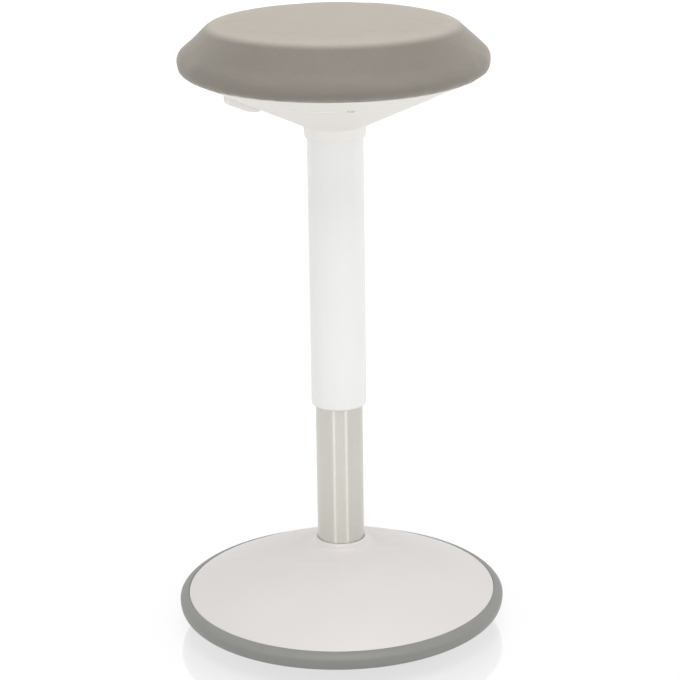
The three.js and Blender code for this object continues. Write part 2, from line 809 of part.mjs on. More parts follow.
// Seat plate: a square flange, a pan let into it and the hub welded in the pan's floor
function seatPlate() {
  const panBottom = panFloor - plateThickness;
  const whole = joined(
    roundedPlate(flangeSize, flangeSize, flangeCorner, flangeBottom, flangeTop),
    block(panLength, panWidth, panBottom, flangeTop),
    rod(pressureTubeRadius + gap + hubWall, hubBottom, panFloor, tubeFacets),
  );
  const panInnerLength = panLength - 2 * plateThickness;
  const panInnerWidth = panWidth - 2 * plateThickness;
  const inside = block(panInnerLength, panInnerWidth, panFloor, flangeTop + overrun);
  const taper = turned(
    [
      at(0, hubBottom - overrun),
      at(pressureTubeRadius + gap, hubBottom - overrun),
      at(pressureTubeRadius + gap, hubBottom),
      at(pressureTubeTipRadius + gap, pressureTubeTop),
      at(0, pressureTubeTop),
    ],
    tubeFacets,
  );
  const boltHoles = atCorners(() =>
    rod(seatBolt.shank + gap, flangeBottom - overrun, flangeTop + overrun, smallFacets),
  );
  const pinHole = alongY(rod(pinRadius + gap, -panWidth, panWidth, smallFacets));
  const windowLow = leverPivotHeight - leverEyeRadius;
  const windowHigh = leverPivotHeight + leverEyeRadius + leverWindowMargin;
  const leverWindow = block(panLength / 2, leverWidth + 2 * leverWindowMargin, windowLow, windowHigh);
  return cut(whole, inside, taper, ...boltHoles, pinHole, leverWindow.translate(-panLength / 2, 0, 0));
}

// Lays a shape that stands on the origin along Y at the lever's pivot
function alongY(shape) {
  return shape.rotateX(Math.PI / 2).translate(-leverPivotReach, 0, leverPivotHeight);
}

// A hexagon bolt from the face under its head to its tip, which may lie above or below
function hexBolt(sizes, underHead, tip) {
  const headMiddle = underHead + (Math.sign(underHead - tip) * sizes.headHeight) / 2;
  const head = new THREE.CylinderGeometry(sizes.head, sizes.head, sizes.headHeight, hexSides);
  const low = Math.min(tip, headMiddle);
  const high = Math.max(tip, headMiddle);
  const shank = rod(sizes.shank, low, high, smallFacets);
  return geometryOf(joined(head.rotateX(Math.PI / 2).translate(0, 0, headMiddle), shank));
}

function countersunkScrew() {
  const tip = dishBottom + dishScrew.length;
  return turned(
    [
      at(0, dishBottom),
      at(dishScrew.head, dishBottom),
      at(dishScrew.shank, dishTop),
      at(dishScrew.shank, tip),
      at(0, tip),
    ],
    smallFacets,
  );
}

// A pan-headed screw that points up, its head's upper face at a height
function panScrew(sizes, seat, tip) {
  return turned(
    [
      at(0, seat - sizes.headHeight),
      at(sizes.head, seat - sizes.headHeight),
      at(sizes.head, seat),
      at(sizes.shank, seat),
      at(sizes.shank, tip),
      at(0, tip),
    ],
    smallFacets,
  );
}

function flangedNut() {
  const hole = seatBolt.shank + gap;
  const barrel = hole + teeNut.wall;
  const flangeLow = boardTop - teeNut.flangeThickness;
  return turned(
    [
      at(hole, flangeLow - teeNut.barrelLength),
      at(barrel, flangeLow - teeNut.barrelLength),
      at(barrel, flangeLow),
      at(teeNut.flange, flangeLow),
      at(teeNut.flange, boardTop),
      at(hole, boardTop),
    ],
    smallFacets,
  );
}

// Housing: a collar, a wide cone up to the seat, a notch for the handle and three screw posts
function housing() {
  const innerRimRadius = collarTopRadius + (housingTop - housingWallUp - collarTop) / housingSlope;
  const shell = solid(
    turned(
      [
        at(collarBore, collarBottom),
        at(collarBottomRadius, collarBottom),
        at(collarTopRadius, collarTop),
        at(housingRadius, housingRimHeight),
        at(housingRadius, housingTop),
        at(innerRimRadius, housingTop),
        at(collarBore, coneHeight(collarBore) + housingWallUp),
      ],
      wideFacets,
    ),
  );
  const posts = atHousingScrews(() => rod(postRadius, collarTop, boardBottom - gap, smallFacets));
  const belowCone = turned(
    [
      at(0, collarBottom),
      at(housingRadius, collarBottom),
      at(housingRadius, housingRimHeight),
      at(collarTopRadius, collarTop),
      at(0, collarTop),
    ],
    wideFacets,
  );
  const notchWidth = handleWidth + 2 * notchMargin;
  const notchMiddle = notchMargin - handleReach - housingRadius / 2;
  const notch = roundedPlate(housingRadius, notchWidth, notchCorner, collarBottom, housingTop + overrun);
  const sinks = atHousingScrews(() => rod(housingScrew.head + gap, collarTop, screwSeat, smallFacets));
  const holes = atHousingScrews(() =>
    rod(housingScrew.shank + gap, screwSeat - overrun, boardBottom + overrun, smallFacets),
  );
  const whole = shell.add(cut(joined(...posts), belowCone));
  return cut(whole, notch.translate(notchMiddle, 0, 0), ...sinks, ...holes);
}

function atHousingScrews(make) {
  return around(screwCount, housingScrewCircle, housingScrewTurn, make);
}

// Lever: a flat steel bar on a cross pin, its inner end over the release button
function leverArm() {
  const length = leverInnerReach + handleReach + handleGrip;
  const bar = block(length, leverWidth, leverBottom, leverBottom + leverThickness);
  const eye = alongY(rod(leverEyeRadius, -leverWidth / 2, leverWidth / 2, smallFacets));
  const bore = alongY(rod(pinRadius + runningGap, -leverWidth, leverWidth, smallFacets));
  return cut(joined(bar.translate(leverInnerReach - length / 2, 0, 0), eye), bore);
}

function leverHandle() {
  const bottom = leverBottom - handleDrop;
  const height = handleDrop + leverThickness + handleCrown;
  const outline = new THREE.Shape(
    handleOutlineShares.map(([along, up]) => at(handleReach + handleLength * along, bottom + height * up)),
  );
  const body = new THREE.ExtrudeGeometry(outline, { depth: handleWidth, bevelEnabled: false });
  const upright = body.rotateX(Math.PI / 2).rotateZ(Math.PI).translate(0, -handleWidth / 2, 0);
  const pocketLow = leverBottom - gap;
  const pocketHigh = leverBottom + leverThickness + gap;
  const pocket = block((handleGrip + gap) * 2, leverWidth + 2 * gap, pocketLow, pocketHigh);
  return cut(solid(upright), pocket.translate(-handleReach, 0, 0));
}

// Pin: a headed cross pin through the pan's walls, held by an open clip
function leverPin() {
  const headFace = panWidth / 2 + gap;
  const grooveStart = -headFace;
  const grooveEnd = grooveStart - clip.thickness;
  const groove = pinRadius - rodGrooveDepth;
  const pinHeadRadius = pinRadius + pinHeadWidth;
  return alongY(
    turned(
      [
        at(0, headFace + pinHeadThickness),
        at(pinHeadRadius, headFace + pinHeadThickness),
        at(pinHeadRadius, headFace),
        at(pinRadius, headFace),
        at(pinRadius, grooveStart + gap),
        at(groove, grooveStart + gap),
        at(groove, grooveEnd - gap),
        at(pinRadius, grooveEnd - gap),
        at(pinRadius, grooveStart - pinTail),
        at(0, grooveStart - pinTail),
      ],
      smallFacets,
    ),
  );
}

function pinClip() {
  const inner = pinRadius - rodGrooveDepth + gap;
  const start = -panWidth / 2 - gap - clip.thickness;
  return alongY(geometryOf(openClip(inner, start)));
}

// Foot
add("base_sole", sole(), soleRubber);
add("base_dish", dish(), blackNylon);
add("base_weight", weight(), castIron);
add("column_socket", socket(), zincSteel);
add("base_cover", cover(), whitePlastic);
add("base_ring", ring(), greyRubber);
const socketBolts = around(boltCount, socketBolt.circle, 0, () =>
  hexBolt(socketBolt, socketFlangeTop + gap, socketFlangeTop + gap - socketBolt.length),
);
addEach("socket_bolt", socketBolts, zincSteel);
addEach("dish_screw", around(boltCount, dishScrew.circle, dishScrew.turn, countersunkScrew), zincSteel);
const coverScrewSeat = dishBottom - gap;
const coverScrews = roundTheFoot(() =>
  panScrew(coverScrew, coverScrewSeat, coverScrewSeat + coverScrew.length),
);
addEach("cover_screw", coverScrews, zincSteel);

// Column and bearing
add("outer_column", column(), satinSteel);
add("column_bush", bush(), naturalNylon);
const bearingWasher = (bottom) =>
  washer(spigotHole, washerRadius, bottom, bottom + washerThickness, smallFacets);
add("bearing_lower_washer", bearingWasher(lowerWasherBottom), zincSteel);
add("bearing_ball_cage", ballCage(), zincSteel);
add("bearing_upper_washer", bearingWasher(upperWasherBottom), zincSteel);

// Gas spring
const rodClipHole = rodSpigotRadius - rodGrooveDepth + gap;
add("rod_clip", openClip(rodClipHole, columnBottom - gap - clip.thickness), blackSteel);
add("rod_buffer", washer(rodRadius + gap, buffer.radius, rodShoulder, bufferTop, smallFacets), blackRubber);
add("piston_rod", pistonRod(), satinSteel);
add("piston", piston(), blackNylon);
const glandTop = pressureTubeBottom + glandHeight;
const gland = washer(rodRadius + runningGap, tubeBore - gap, pressureTubeBottom, glandTop, tubeFacets);
add("rod_gland", gland, blackNylon);
add("pressure_tube", pressureTube(), blackSteel);
add("release_button", releaseButton(), naturalNylon);

// Sleeve and housing
add("column_sleeve", sleeve(), whiteTube);
const glideBottom = sleeveBottom + sleeveLipThickness + gap;
const glideTop = glideBottom + glideHeight;
const glide = washer(columnRadius + runningGap, glideRadius, glideBottom, glideTop, mediumFacets);
add("sleeve_glide", glide, naturalNylon);
add("seat_housing", housing(), whitePlastic);
const housingScrews = atHousingScrews(() =>
  panScrew(housingScrew, screwSeat - gap, boardBottom + housingScrewBite),
);
addEach("housing_screw", housingScrews, zincSteel);

// Seat
add("seat_plate", seatPlate(), blackSteel);
add("seat_board", board(), birchPlywood);
add("seat_foam", foam(), seatFoam);
add("seat_fabric", fabric(), greyFabric);
const boltTip = boardTop - teeNut.flangeThickness;
addEach("seat_bolt", atCorners(() => hexBolt(seatBolt, flangeBottom - gap, boltTip)), zincSteel);
addEach("tee_nut", atCorners(flangedNut), zincSteel);

// Lever
add("lever_arm", leverArm(), zincSteel);
add("lever_handle", leverHandle(), whitePlastic);
add("lever_pin", leverPin(), zincSteel);
add("lever_pin_clip", pinClip(), blackSteel);

export default stool;
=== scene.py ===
# Wobble stool: a padded round seat on a gas-spring column over a weighted, rounded foot.
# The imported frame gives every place. This script gives each visible piece its full form and its finish.
import json
import math

import bpy
from mathutils import Matrix, Vector
from mathutils.bvhtree import BVHTree
from mathutils.kdtree import KDTree


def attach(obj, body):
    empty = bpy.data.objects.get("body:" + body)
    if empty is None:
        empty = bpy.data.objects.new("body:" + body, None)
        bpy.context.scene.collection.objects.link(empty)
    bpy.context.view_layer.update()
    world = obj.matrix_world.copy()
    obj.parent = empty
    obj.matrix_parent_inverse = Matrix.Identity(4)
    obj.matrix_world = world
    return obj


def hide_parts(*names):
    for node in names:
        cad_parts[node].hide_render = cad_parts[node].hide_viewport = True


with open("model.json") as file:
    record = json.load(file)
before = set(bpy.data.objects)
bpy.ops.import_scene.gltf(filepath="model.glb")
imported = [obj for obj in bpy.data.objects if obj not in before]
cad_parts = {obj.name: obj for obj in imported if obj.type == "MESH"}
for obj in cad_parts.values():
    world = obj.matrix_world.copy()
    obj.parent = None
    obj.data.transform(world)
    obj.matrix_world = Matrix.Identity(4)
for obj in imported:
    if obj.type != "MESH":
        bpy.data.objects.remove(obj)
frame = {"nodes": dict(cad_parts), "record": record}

mm = 0.001  # the outlines below are in millimetres, Blender in metres
weldDistance = 1e-6  # metres, under which points become one
scene = bpy.context.scene
scene.view_settings.view_transform = "Standard"
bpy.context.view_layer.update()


# Helpers

def addNode(tree, kind, settings=None, links=None):
    # A number names a socket by its place, small letters name a property, anything else a socket.
    # The node's outputs come back.
    node = tree.nodes.new(kind)
    for name, value in (settings or {}).items():
        if isinstance(name, str) and hasattr(node, name):
            setattr(node, name, value)
        else:
            node.inputs[name].default_value = value
    for name, source in (links or {}).items():
        tree.links.new(source, node.inputs[name])
    return node.outputs


def linear(code):
    # an sRGB hex code as a linear colour
    parts = [int(code[i:i + 2], 16) / 255 for i in (1, 3, 5)]
    return (*[c / 12.92 if c <= 0.04045 else ((c + 0.055) / 1.055) ** 2.4 for c in parts], 1.0)


def newObject(name, mesh):
    piece = bpy.data.objects.new(name, mesh)
    scene.collection.objects.link(piece)
    return piece


def settle(piece):
    # the evaluated form becomes the piece's own plain mesh
    depsgraph = bpy.context.evaluated_depsgraph_get()
    mesh = bpy.data.meshes.new_from_object(piece.evaluated_get(depsgraph))
    piece.modifiers.clear()
    old = piece.data
    piece.data = mesh
    mesh.name = piece.name
    bpy.data.meshes.remove(old)
    return piece


def discard(piece):
    mesh = piece.data
    bpy.data.objects.remove(piece)
    bpy.data.meshes.remove(mesh)


def curved(start, tip, end, steps):
    # a quadratic curve, its first point left out
    points = []
    for i in range(1, steps + 1):
        t = i / steps
        points.append(tuple((1 - t) ** 2 * a + 2 * t * (1 - t) * b + t * t * c for a, b, c in zip(start, tip, end)))
    return points


def eased(corners, steps=4):
    # corners are (r, z) or (r, z, radius), and one with a radius is rounded off
    longest = 0.48  # the share of a neighbouring edge that a rounding may take
    points = []
    for i, corner in enumerate(corners):
        here = Vector(corner[:2])
        if len(corner) == 2:
            points.append(tuple(here))
            continue
        before = Vector(corners[i - 1][:2]) - here
        after = Vector(corners[(i + 1) % len(corners)][:2]) - here
        half = before.angle(after) / 2
        reach = min(corner[2] / math.tan(half), longest * before.length, longest * after.length)
        first = here + before.normalized() * reach
        last = here + after.normalized() * reach
        points += [tuple(first), *curved(tuple(first), tuple(here), tuple(last), steps)]
    return points


# Geometry Nodes: a solid of revolution from an outline, and copies round the axis

def newTree(name, inputs, output):
    tree = bpy.data.node_groups.new(name, "GeometryNodeTree")
    for label, kind in inputs.items():
        tree.interface.new_socket(label, in_out="INPUT", socket_type="NodeSocket" + kind)
    tree.interface.new_socket(output, in_out="OUTPUT", socket_type="NodeSocketGeometry")
    return tree, addNode(tree, "NodeGroupInput")


def endTree(tree, geometry, finish):
    # copies become real and take the one finish
    real = addNode(tree, "GeometryNodeRealizeInstances", links={0: geometry})
    dressed = addNode(tree, "GeometryNodeSetMaterial", links={"Geometry": real[0], "Material": finish})
    addNode(tree, "NodeGroupOutput", links={0: dressed[0]})
    return tree


def makeTurnedTree():
    inputs = {"Outline": "Geometry", "Steps": "Int", "Weld Distance": "Float", "Finish": "Material"}
    tree, given = newTree("turnedShell", inputs, "Shell")
    count = addNode(tree, "GeometryNodeAttributeDomainSize", links={0: given["Outline"]})["Point Count"]
    across = addNode(tree, "ShaderNodeMath", {"operation": "ADD", 1: 1.0}, {0: given["Steps"]})[0]
    grid = addNode(tree, "GeometryNodeMeshGrid", links={"Vertices X": across, "Vertices Y": count})["Mesh"]
    index = addNode(tree, "GeometryNodeInputIndex")[0]
    along = addNode(tree, "ShaderNodeMath", {"operation": "MODULO"}, {0: index, 1: count})[0]
    turns = addNode(tree, "ShaderNodeMath", {"operation": "DIVIDE"}, {0: index, 1: count})[0]
    step = addNode(tree, "ShaderNodeMath", {"operation": "FLOOR"}, {0: turns})[0]
    share = addNode(tree, "ShaderNodeMath", {"operation": "DIVIDE"}, {0: step, 1: given["Steps"]})[0]
    angle = addNode(tree, "ShaderNodeMath", {"operation": "MULTIPLY", 1: 2 * math.pi}, {0: share})[0]
    place = addNode(tree, "GeometryNodeInputPosition")[0]
    source = {"Geometry": given["Outline"], "Value": place, "Index": along}
    sample = addNode(tree, "GeometryNodeSampleIndex", {"data_type": "FLOAT_VECTOR"}, source)[0]
    turned = addNode(tree, "ShaderNodeVectorRotate", {"rotation_type": "Z_AXIS"}, {"Vector": sample, "Angle": angle})
    moved = addNode(tree, "GeometryNodeSetPosition", links={"Geometry": grid, "Position": turned[0]})
    source = {"Geometry": moved[0], "Distance": given["Weld Distance"]}
    welded = addNode(tree, "GeometryNodeMergeByDistance", links=source)
    smooth = addNode(tree, "GeometryNodeSetShadeSmooth", links={0: welded[0]})
    return endTree(tree, smooth[0], given["Finish"])


def makeRoundTree():
    tree, given = newTree("copiesRoundAxis", {
        "Part": "Geometry", "Count": "Int", "Circle Radius": "Float", "First Angle": "Float", "Finish": "Material"},
        "Parts")
    ring = {"Vertices": given["Count"], "Radius": given["Circle Radius"]}
    circle = addNode(tree, "GeometryNodeMeshCircle", links=ring)
    turn = addNode(tree, "ShaderNodeCombineXYZ", links={"Z": given["First Angle"]})
    turned = addNode(tree, "GeometryNodeTransform", links={"Geometry": circle[0], "Rotation": turn[0]})
    index = addNode(tree, "GeometryNodeInputIndex")[0]
    share = addNode(tree, "ShaderNodeMath", {"operation": "DIVIDE"}, {0: index, 1: given["Count"]})[0]
    factors = {0: share, 2: given["First Angle"]}
    angle = addNode(tree, "ShaderNodeMath", {"operation": "MULTIPLY_ADD", 1: 2 * math.pi}, factors)[0]
    spin = addNode(tree, "ShaderNodeCombineXYZ", links={"Z": angle})
    source = {"Points": turned[0], "Instance": given["Part"], "Rotation": spin[0]}
    copies = addNode(tree, "GeometryNodeInstanceOnPoints", links=source)
    return endTree(tree, copies[0], given["Finish"])


turnedTree = makeTurnedTree()
roundTree = makeRoundTree()


def runTree(piece, tree, inputs):
    modifier = piece.modifiers.new(tree.name, "NODES")
    modifier.node_group = tree
    for item in tree.interface.items_tree:
        if item.in_out == "INPUT" and item.name in inputs:
            modifier[item.identifier] = inputs[item.name]
    return settle(piece)


def volumeOf(mesh):
    mesh.calc_loop_triangles()
    points = [v.co for v in mesh.vertices]
    return sum(points[a].dot(points[b].cross(points[c])) for a, b, c in (t.vertices for t in mesh.loop_triangles)) / 6


def turned(name, outline, steps, finish, sharpDegrees=38):
    # an outline that starts and ends on the axis is left open there, any other is closed
    points = list(outline)
    if points[0][0] > 0 or points[-1][0] > 0:
        points.append(points[0])
    mesh = bpy.data.meshes.new(name + "Outline")
    mesh.from_pydata([(r * mm, 0, z * mm) for r, z in points], [(i, i + 1) for i in range(len(points) - 1)], [])
    inputs = {"Steps": steps, "Weld Distance": weldDistance, "Finish": finish}
    piece = runTree(newObject(name, mesh), turnedTree, inputs)
    if volumeOf(piece.data) < 0:
        piece.data.flip_normals()
    piece.data.set_sharp_from_angle(angle=math.radians(sharpDegrees))
    return piece


def dress(piece, body, slot, *nodes):
    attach(piece, body)
    if nodes:
        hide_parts(*nodes)
    return piece


# Camera: where the photograph was taken from
photoView = {
    "place": (0.0653, -2.2212, 1.0236),
    "pitch": 0.3064,  # radians below level
    "roll": -0.006,
    "lens": 116.49, "sensor": 36,  # mm
    "shift": -0.088,  # the photograph is cropped off its lens's axis, which tilts the foot's oval
    "clip": (0.05, 60),
}


def makeCamera():
    data = bpy.data.cameras.new("photoCamera")
    data.lens = photoView["lens"]
    data.sensor_width = photoView["sensor"]
    data.shift_x = photoView["shift"]
    data.clip_start, data.clip_end = photoView["clip"]
    camera = newObject("photoCamera", data)
    sinPitch, cosPitch = math.sin(photoView["pitch"]), math.cos(photoView["pitch"])
    sinRoll, cosRoll = math.sin(photoView["roll"]), math.cos(photoView["roll"])
    level, upward = Vector((1, 0, 0)), Vector((0, sinPitch, cosPitch))
    right = cosRoll * level + sinRoll * upward
    up = cosRoll * upward - sinRoll * level
    axes = Matrix((right, up, right.cross(up))).transposed()
    camera.matrix_world = Matrix.Translation(photoView["place"]) @ axes.to_4x4()
    scene.camera = camera


# Studio: a white acrylic table under a white dome. Softboxes stand overhead, in front, at both sides and low behind,
# and two tall strips are mirrored in the steel as upright lines.
studio = {
    "dome": 0.68,  # what the white surround gives to matt surfaces
    "floorReach": 7.0,
    "floorDrop": 0.0002,  # the table lies this much under the sole
    "floorRoughness": 0.07,
    "floorIor": 1.7,
    "floorColour": "#dededd",
    "floorGlow": 0.17,  # the table is lit from below too, so the sole shows from under it
    "floorSeen": "#727272",  # for the camera the floor is part this colour, which takes the shadow,
    "floorLift": 0.69,  # and part this much light of its own, so that it ends up white
}
lamps = {
    "overhead": {"place": (0.03, -0.6, 1.7), "aim": (0, -0.1, 0.4), "size": (0.9, 0.9), "power": 11.8, "glossy": True},
    "front": {"place": (0.4, -2.5, 0.6), "aim": (0, 0, 0.2), "size": (1.4, 0.7), "power": 13.0},
    "leftFill": {"place": (-2.35, -0.5, 1.3), "aim": (0, 0, 0.3), "size": (1.3, 1.2), "power": 10.0},
    "rightFill": {"place": (2.35, -0.4, 1.3), "aim": (0, 0, 0.3), "size": (1.3, 1.2), "power": 11.5},
    "leftBack": {"place": (-1.7, 1.5, 0.35), "aim": (0, 0, 0.4), "size": (1.2, 0.6), "power": 11.0},
    "rightBack": {"place": (1.7, 1.5, 0.35), "aim": (0, 0, 0.4), "size": (1.2, 0.6), "power": 12.5},
    "leftStrip": {"place": (-0.86, -1.81, 0.75), "aim": (0, 0, 0.2), "size": (0.32, 1.5), "power": 1.8, "glossy": True},
    "rightStrip": {"place": (1.11, -1.66, 0.75), "aim": (0, 0, 0.2), "size": (0.32, 1.5), "power": 1.8, "glossy": True},
}


def makeLamp(name, settings):
    data = bpy.data.lights.new(name, "AREA")
    data.shape = "RECTANGLE"
    data.size, data.size_y = settings["size"]
    data.energy = settings["power"]
    lamp = newObject(name, data)
    place = Vector(settings["place"])
    lamp.location = place
    lamp.rotation_euler = (place - Vector(settings["aim"])).to_track_quat("Z", "Y").to_euler()
    lamp.visible_glossy = "glossy" in settings
    lamp.visible_camera = False


def seenDirectly(tree):
    # 1 where the camera, a reflection or a see-through surface looks at the surround
    path = addNode(tree, "ShaderNodeLightPath")
    seen = path["Is Camera Ray"]
    for kind in ("Is Glossy Ray", "Is Transmission Ray"):
        seen = addNode(tree, "ShaderNodeMath", {"operation": "MAXIMUM"}, {0: seen, 1: path[kind]})[0]
    return seen


def makeStudio():
    world = bpy.data.worlds.new("whiteSurround")
    scene.world = world
    world.use_nodes = True
    tree = world.node_tree
    tree.nodes.clear()
    seen = seenDirectly(tree)
    strength = addNode(tree, "ShaderNodeMapRange", {"To Min": studio["dome"], "To Max": 1.0}, {"Value": seen})
    background = addNode(tree, "ShaderNodeBackground", {"Color": (1, 1, 1, 1)}, {"Strength": strength[0]})
    addNode(tree, "ShaderNodeOutputWorld", links={"Surface": background[0]})
    for name, settings in lamps.items():
        makeLamp(name, settings)
    reach, level = studio["floorReach"], -studio["floorDrop"]
    corners = [(x * reach, y * reach, level) for x, y in ((-1, -1), (1, -1), (1, 1), (-1, 1))]
    mesh = bpy.data.meshes.new("floor")
    mesh.from_pydata(corners, [], [(0, 1, 2, 3)])
    floor = newObject("floor", mesh)
    floor.data.materials.append(makeFloorFinish())


def newMaterial(name):
    material = bpy.data.materials.new(name)
    material.use_nodes = True
    material.node_tree.nodes.clear()
    return material, material.node_tree


def makeFloorFinish():
    # white acrylic table: a soft mirror of the foot, and only seen from above
    material, tree = newMaterial("whiteAcrylicTable")
    byCamera = addNode(tree, "ShaderNodeLightPath")["Is Camera Ray"]
    colours = {6: linear(studio["floorColour"]), 7: linear(studio["floorSeen"])}
    tone = addNode(tree, "ShaderNodeMix", {"data_type": "RGBA", **colours}, {0: byCamera})[2]
    gloss = {"Roughness": studio["floorRoughness"], "IOR": studio["floorIor"]}
    surface = addNode(tree, "ShaderNodeBsdfPrincipled", gloss, {"Base Color": tone})
    levels = {"To Min": studio["floorGlow"], "To Max": studio["floorLift"]}
    lift = addNode(tree, "ShaderNodeMapRange", levels, {"Value": byCamera})
    glow = addNode(tree, "ShaderNodeEmission", links={"Strength": lift[0]})
    lit = addNode(tree, "ShaderNodeAddShader", links={0: surface[0], 1: glow[0]})
    clear = addNode(tree, "ShaderNodeBsdfTransparent")
    back = addNode(tree, "ShaderNodeNewGeometry")["Backfacing"]
    oneSided = addNode(tree, "ShaderNodeMixShader", links={0: back, 1: lit[0], 2: clear[0]})
    addNode(tree, "ShaderNodeOutputMaterial", links={"Surface": oneSided[0]})
    return material


makeCamera()
makeStudio()
print("camera and studio are set")


# Finishes
noiseSpan = {"From Min": 0.3, "From Max": 0.7}  # nearly all values of a noise lie between these


def endFinish(tree, settings, links):
    shader = addNode(tree, "ShaderNodeBsdfPrincipled", settings, links)
    addNode(tree, "ShaderNodeOutputMaterial", links={"Surface": shader[0]})


def grained(name, colours, roughness, ior, grain, mottle, extra=None):
    # grain is (size, depth) of the surface's relief in mm, mottle the size of its slow changes of tone in mm
    (size, depth), (least, most) = grain, roughness
    material, tree = newMaterial(name)
    place = {"Vector": addNode(tree, "ShaderNodeTexCoord")["Object"]}
    slow = addNode(tree, "ShaderNodeTexNoise", {"Scale": 1 / mm / mottle, "Detail": 3.0}, place)["Fac"]
    tones = {6: linear(colours[0]), 7: linear(colours[1])}
    tone = addNode(tree, "ShaderNodeMix", {"data_type": "RGBA", **tones}, {0: slow})
    gloss = addNode(tree, "ShaderNodeMapRange", {**noiseSpan, "To Min": least, "To Max": most}, {"Value": slow})
    fine = addNode(tree, "ShaderNodeTexNoise", {"Scale": 1 / mm / size, "Detail": 2.0}, place)["Fac"]
    bump = addNode(tree, "ShaderNodeBump", {"Strength": 1.0, "Distance": depth * mm}, {"Height": fine})
    links = {"Base Color": tone[2], "Roughness": gloss[0], "Normal": bump[0]}
    endFinish(tree, {"Roughness": (least + most) / 2, "IOR": ior, **(extra or {})}, links)
    return material


# Moulded polypropylene: an even white with a fine spark-eroded satin, which blurs every reflection.
# The real grain is about 0.3 mm and is drawn at 1.2 mm to show.
footPlastic = grained("satinMouldedPolypropylene", ("#c4c0be", "#c9c5c3"), (0.32, 0.38), 1.49, (1.2, 0.012), 60)
housingPlastic = grained("satinMouldedHousingPlastic", ("#d7d4d0", "#dcd9d5"), (0.46, 0.54), 1.49, (1.2, 0.012), 60)

# Extruded ABS tube: whiter and smoother than the mouldings, with a soft broad sheen
tubePlastic = grained("satinExtrudedAbs", ("#d5d5d4", "#dadad9"), (0.36, 0.42), 1.53, (2.4, 0.006), 90)

# Moulded thermoplastic rubber: matt mid grey, a dry bloom that pales it at a glance. Grain of 0.4 mm is drawn at 1 mm.
dryBloom = {"Sheen Weight": 0.08, "Sheen Roughness": 0.5}
ringRubber = grained("matMouldedGreyRubber", ("#757572", "#7c7c79"), (0.46, 0.54), 1.5, (1.0, 0.03), 22, dryBloom)
soleRubber = grained("matGripSoleRubber", ("#6b6b69", "#757573"), (0.72, 0.82), 1.5, (0.9, 0.05), 14)

# What shows only through gaps, or from below
blackNylon = grained("glassFilledBlackNylon", ("#232426", "#2b2c2f"), (0.48, 0.6), 1.53, (0.7, 0.02), 12)
acetal = grained("naturalAcetal", ("#ddd9cc", "#e4e0d4"), (0.4, 0.5), 1.48, (1.5, 0.008), 20)
bufferRubber = grained("blackBufferRubber", ("#191a1a", "#202121"), (0.7, 0.8), 1.52, (0.8, 0.02), 10)
powderCoat = grained("blackPowderCoatedSteel", ("#26272a", "#2d2e31"), (0.42, 0.52), 1.5, (1.8, 0.03), 25)
castIron = grained("sandCastIron", ("#353637", "#454443"), (0.62, 0.8), 1.5, (1.6, 0.12), 9, {"Metallic": 0.35})
zincPlate = grained("zincPlatedSteel", ("#b3b6b8", "#c4c5c3"), (0.3, 0.42), 1.5, (1.4, 0.006), 7, {"Metallic": 1.0})
seatFoam = grained("openCellSeatFoam", ("#cfc8ae", "#dcd6c0"), (0.9, 0.98), 1.4, (1.3, 0.35), 16)


def makeColumnSteel():
    # ground stainless tube: scratches run round it, so lamps show as long upright lines.
    # The real scratches are finer than a tenth of a millimetre and are drawn 0.5 mm apart.
    material, tree = newMaterial("groundStainlessSteel")
    place = {"Vector": addNode(tree, "ShaderNodeTexCoord")["Object"]}
    slow = addNode(tree, "ShaderNodeTexNoise", {"Scale": 30.0, "Detail": 3.0}, place)["Fac"]
    tones = {6: linear("#c8c6be"), 7: linear("#d0cdc7")}
    tone = addNode(tree, "ShaderNodeMix", {"data_type": "RGBA", **tones}, {0: slow})
    flat = {"Vector": addNode(tree, "ShaderNodeMapping", {"Scale": (25.0, 25.0, 2000.0)}, place)[0]}
    scratch = addNode(tree, "ShaderNodeTexNoise", {"Scale": 1.0, "Detail": 3.0}, flat)["Fac"]
    gloss = addNode(tree, "ShaderNodeMapRange", {**noiseSpan, "To Min": 0.29, "To Max": 0.31}, {"Value": scratch})
    bump = addNode(tree, "ShaderNodeBump", {"Strength": 1.0, "Distance": 0.0004 * mm}, {"Height": scratch})
    around = addNode(tree, "ShaderNodeTangent", {"direction_type": "RADIAL", "axis": "Z"})
    links = {"Base Color": tone[2], "Roughness": gloss[0], "Normal": bump[0], "Tangent": around[0]}
    endFinish(tree, {"Metallic": 1.0, "Roughness": 0.3, "Anisotropic": 0.95, "Anisotropic Rotation": 0.25}, links)
    return material


def makePlywood():
    # rotary-cut birch: pale, with long soft grain, and thin darker glue lines on the edge
    material, tree = newMaterial("rawBirchPlywood")
    place = {"Vector": addNode(tree, "ShaderNodeTexCoord")["Object"]}
    long = {"Vector": addNode(tree, "ShaderNodeMapping", {"Scale": (12.0, 160.0, 160.0)}, place)[0]}
    settings = {"Scale": 1.0, "Detail": 6.0, "Distortion": 0.4}
    grain = addNode(tree, "ShaderNodeTexNoise", settings, long)["Fac"]
    tones = {6: linear("#c8a878"), 7: linear("#dcc39c")}
    tone = addNode(tree, "ShaderNodeMix", {"data_type": "RGBA", **tones}, {0: grain})
    layers = {"bands_direction": "Z", "Scale": 27.0}  # plies of 1.4 mm
    plies = addNode(tree, "ShaderNodeTexWave", layers, place)["Fac"]
    glue = addNode(tree, "ShaderNodeMapRange", {"From Min": 0.9, "From Max": 1.0, "To Max": 0.35}, {"Value": plies})
    edge = addNode(tree, "ShaderNodeMix", {"data_type": "RGBA", 7: linear("#7d5a36")}, {0: glue[0], 6: tone[2]})
    bump = addNode(tree, "ShaderNodeBump", {"Strength": 1.0, "Distance": 0.05 * mm}, {"Height": grain})
    endFinish(tree, {"Roughness": 0.65, "IOR": 1.5}, {"Base Color": edge[2], "Normal": bump[0]})
    return material


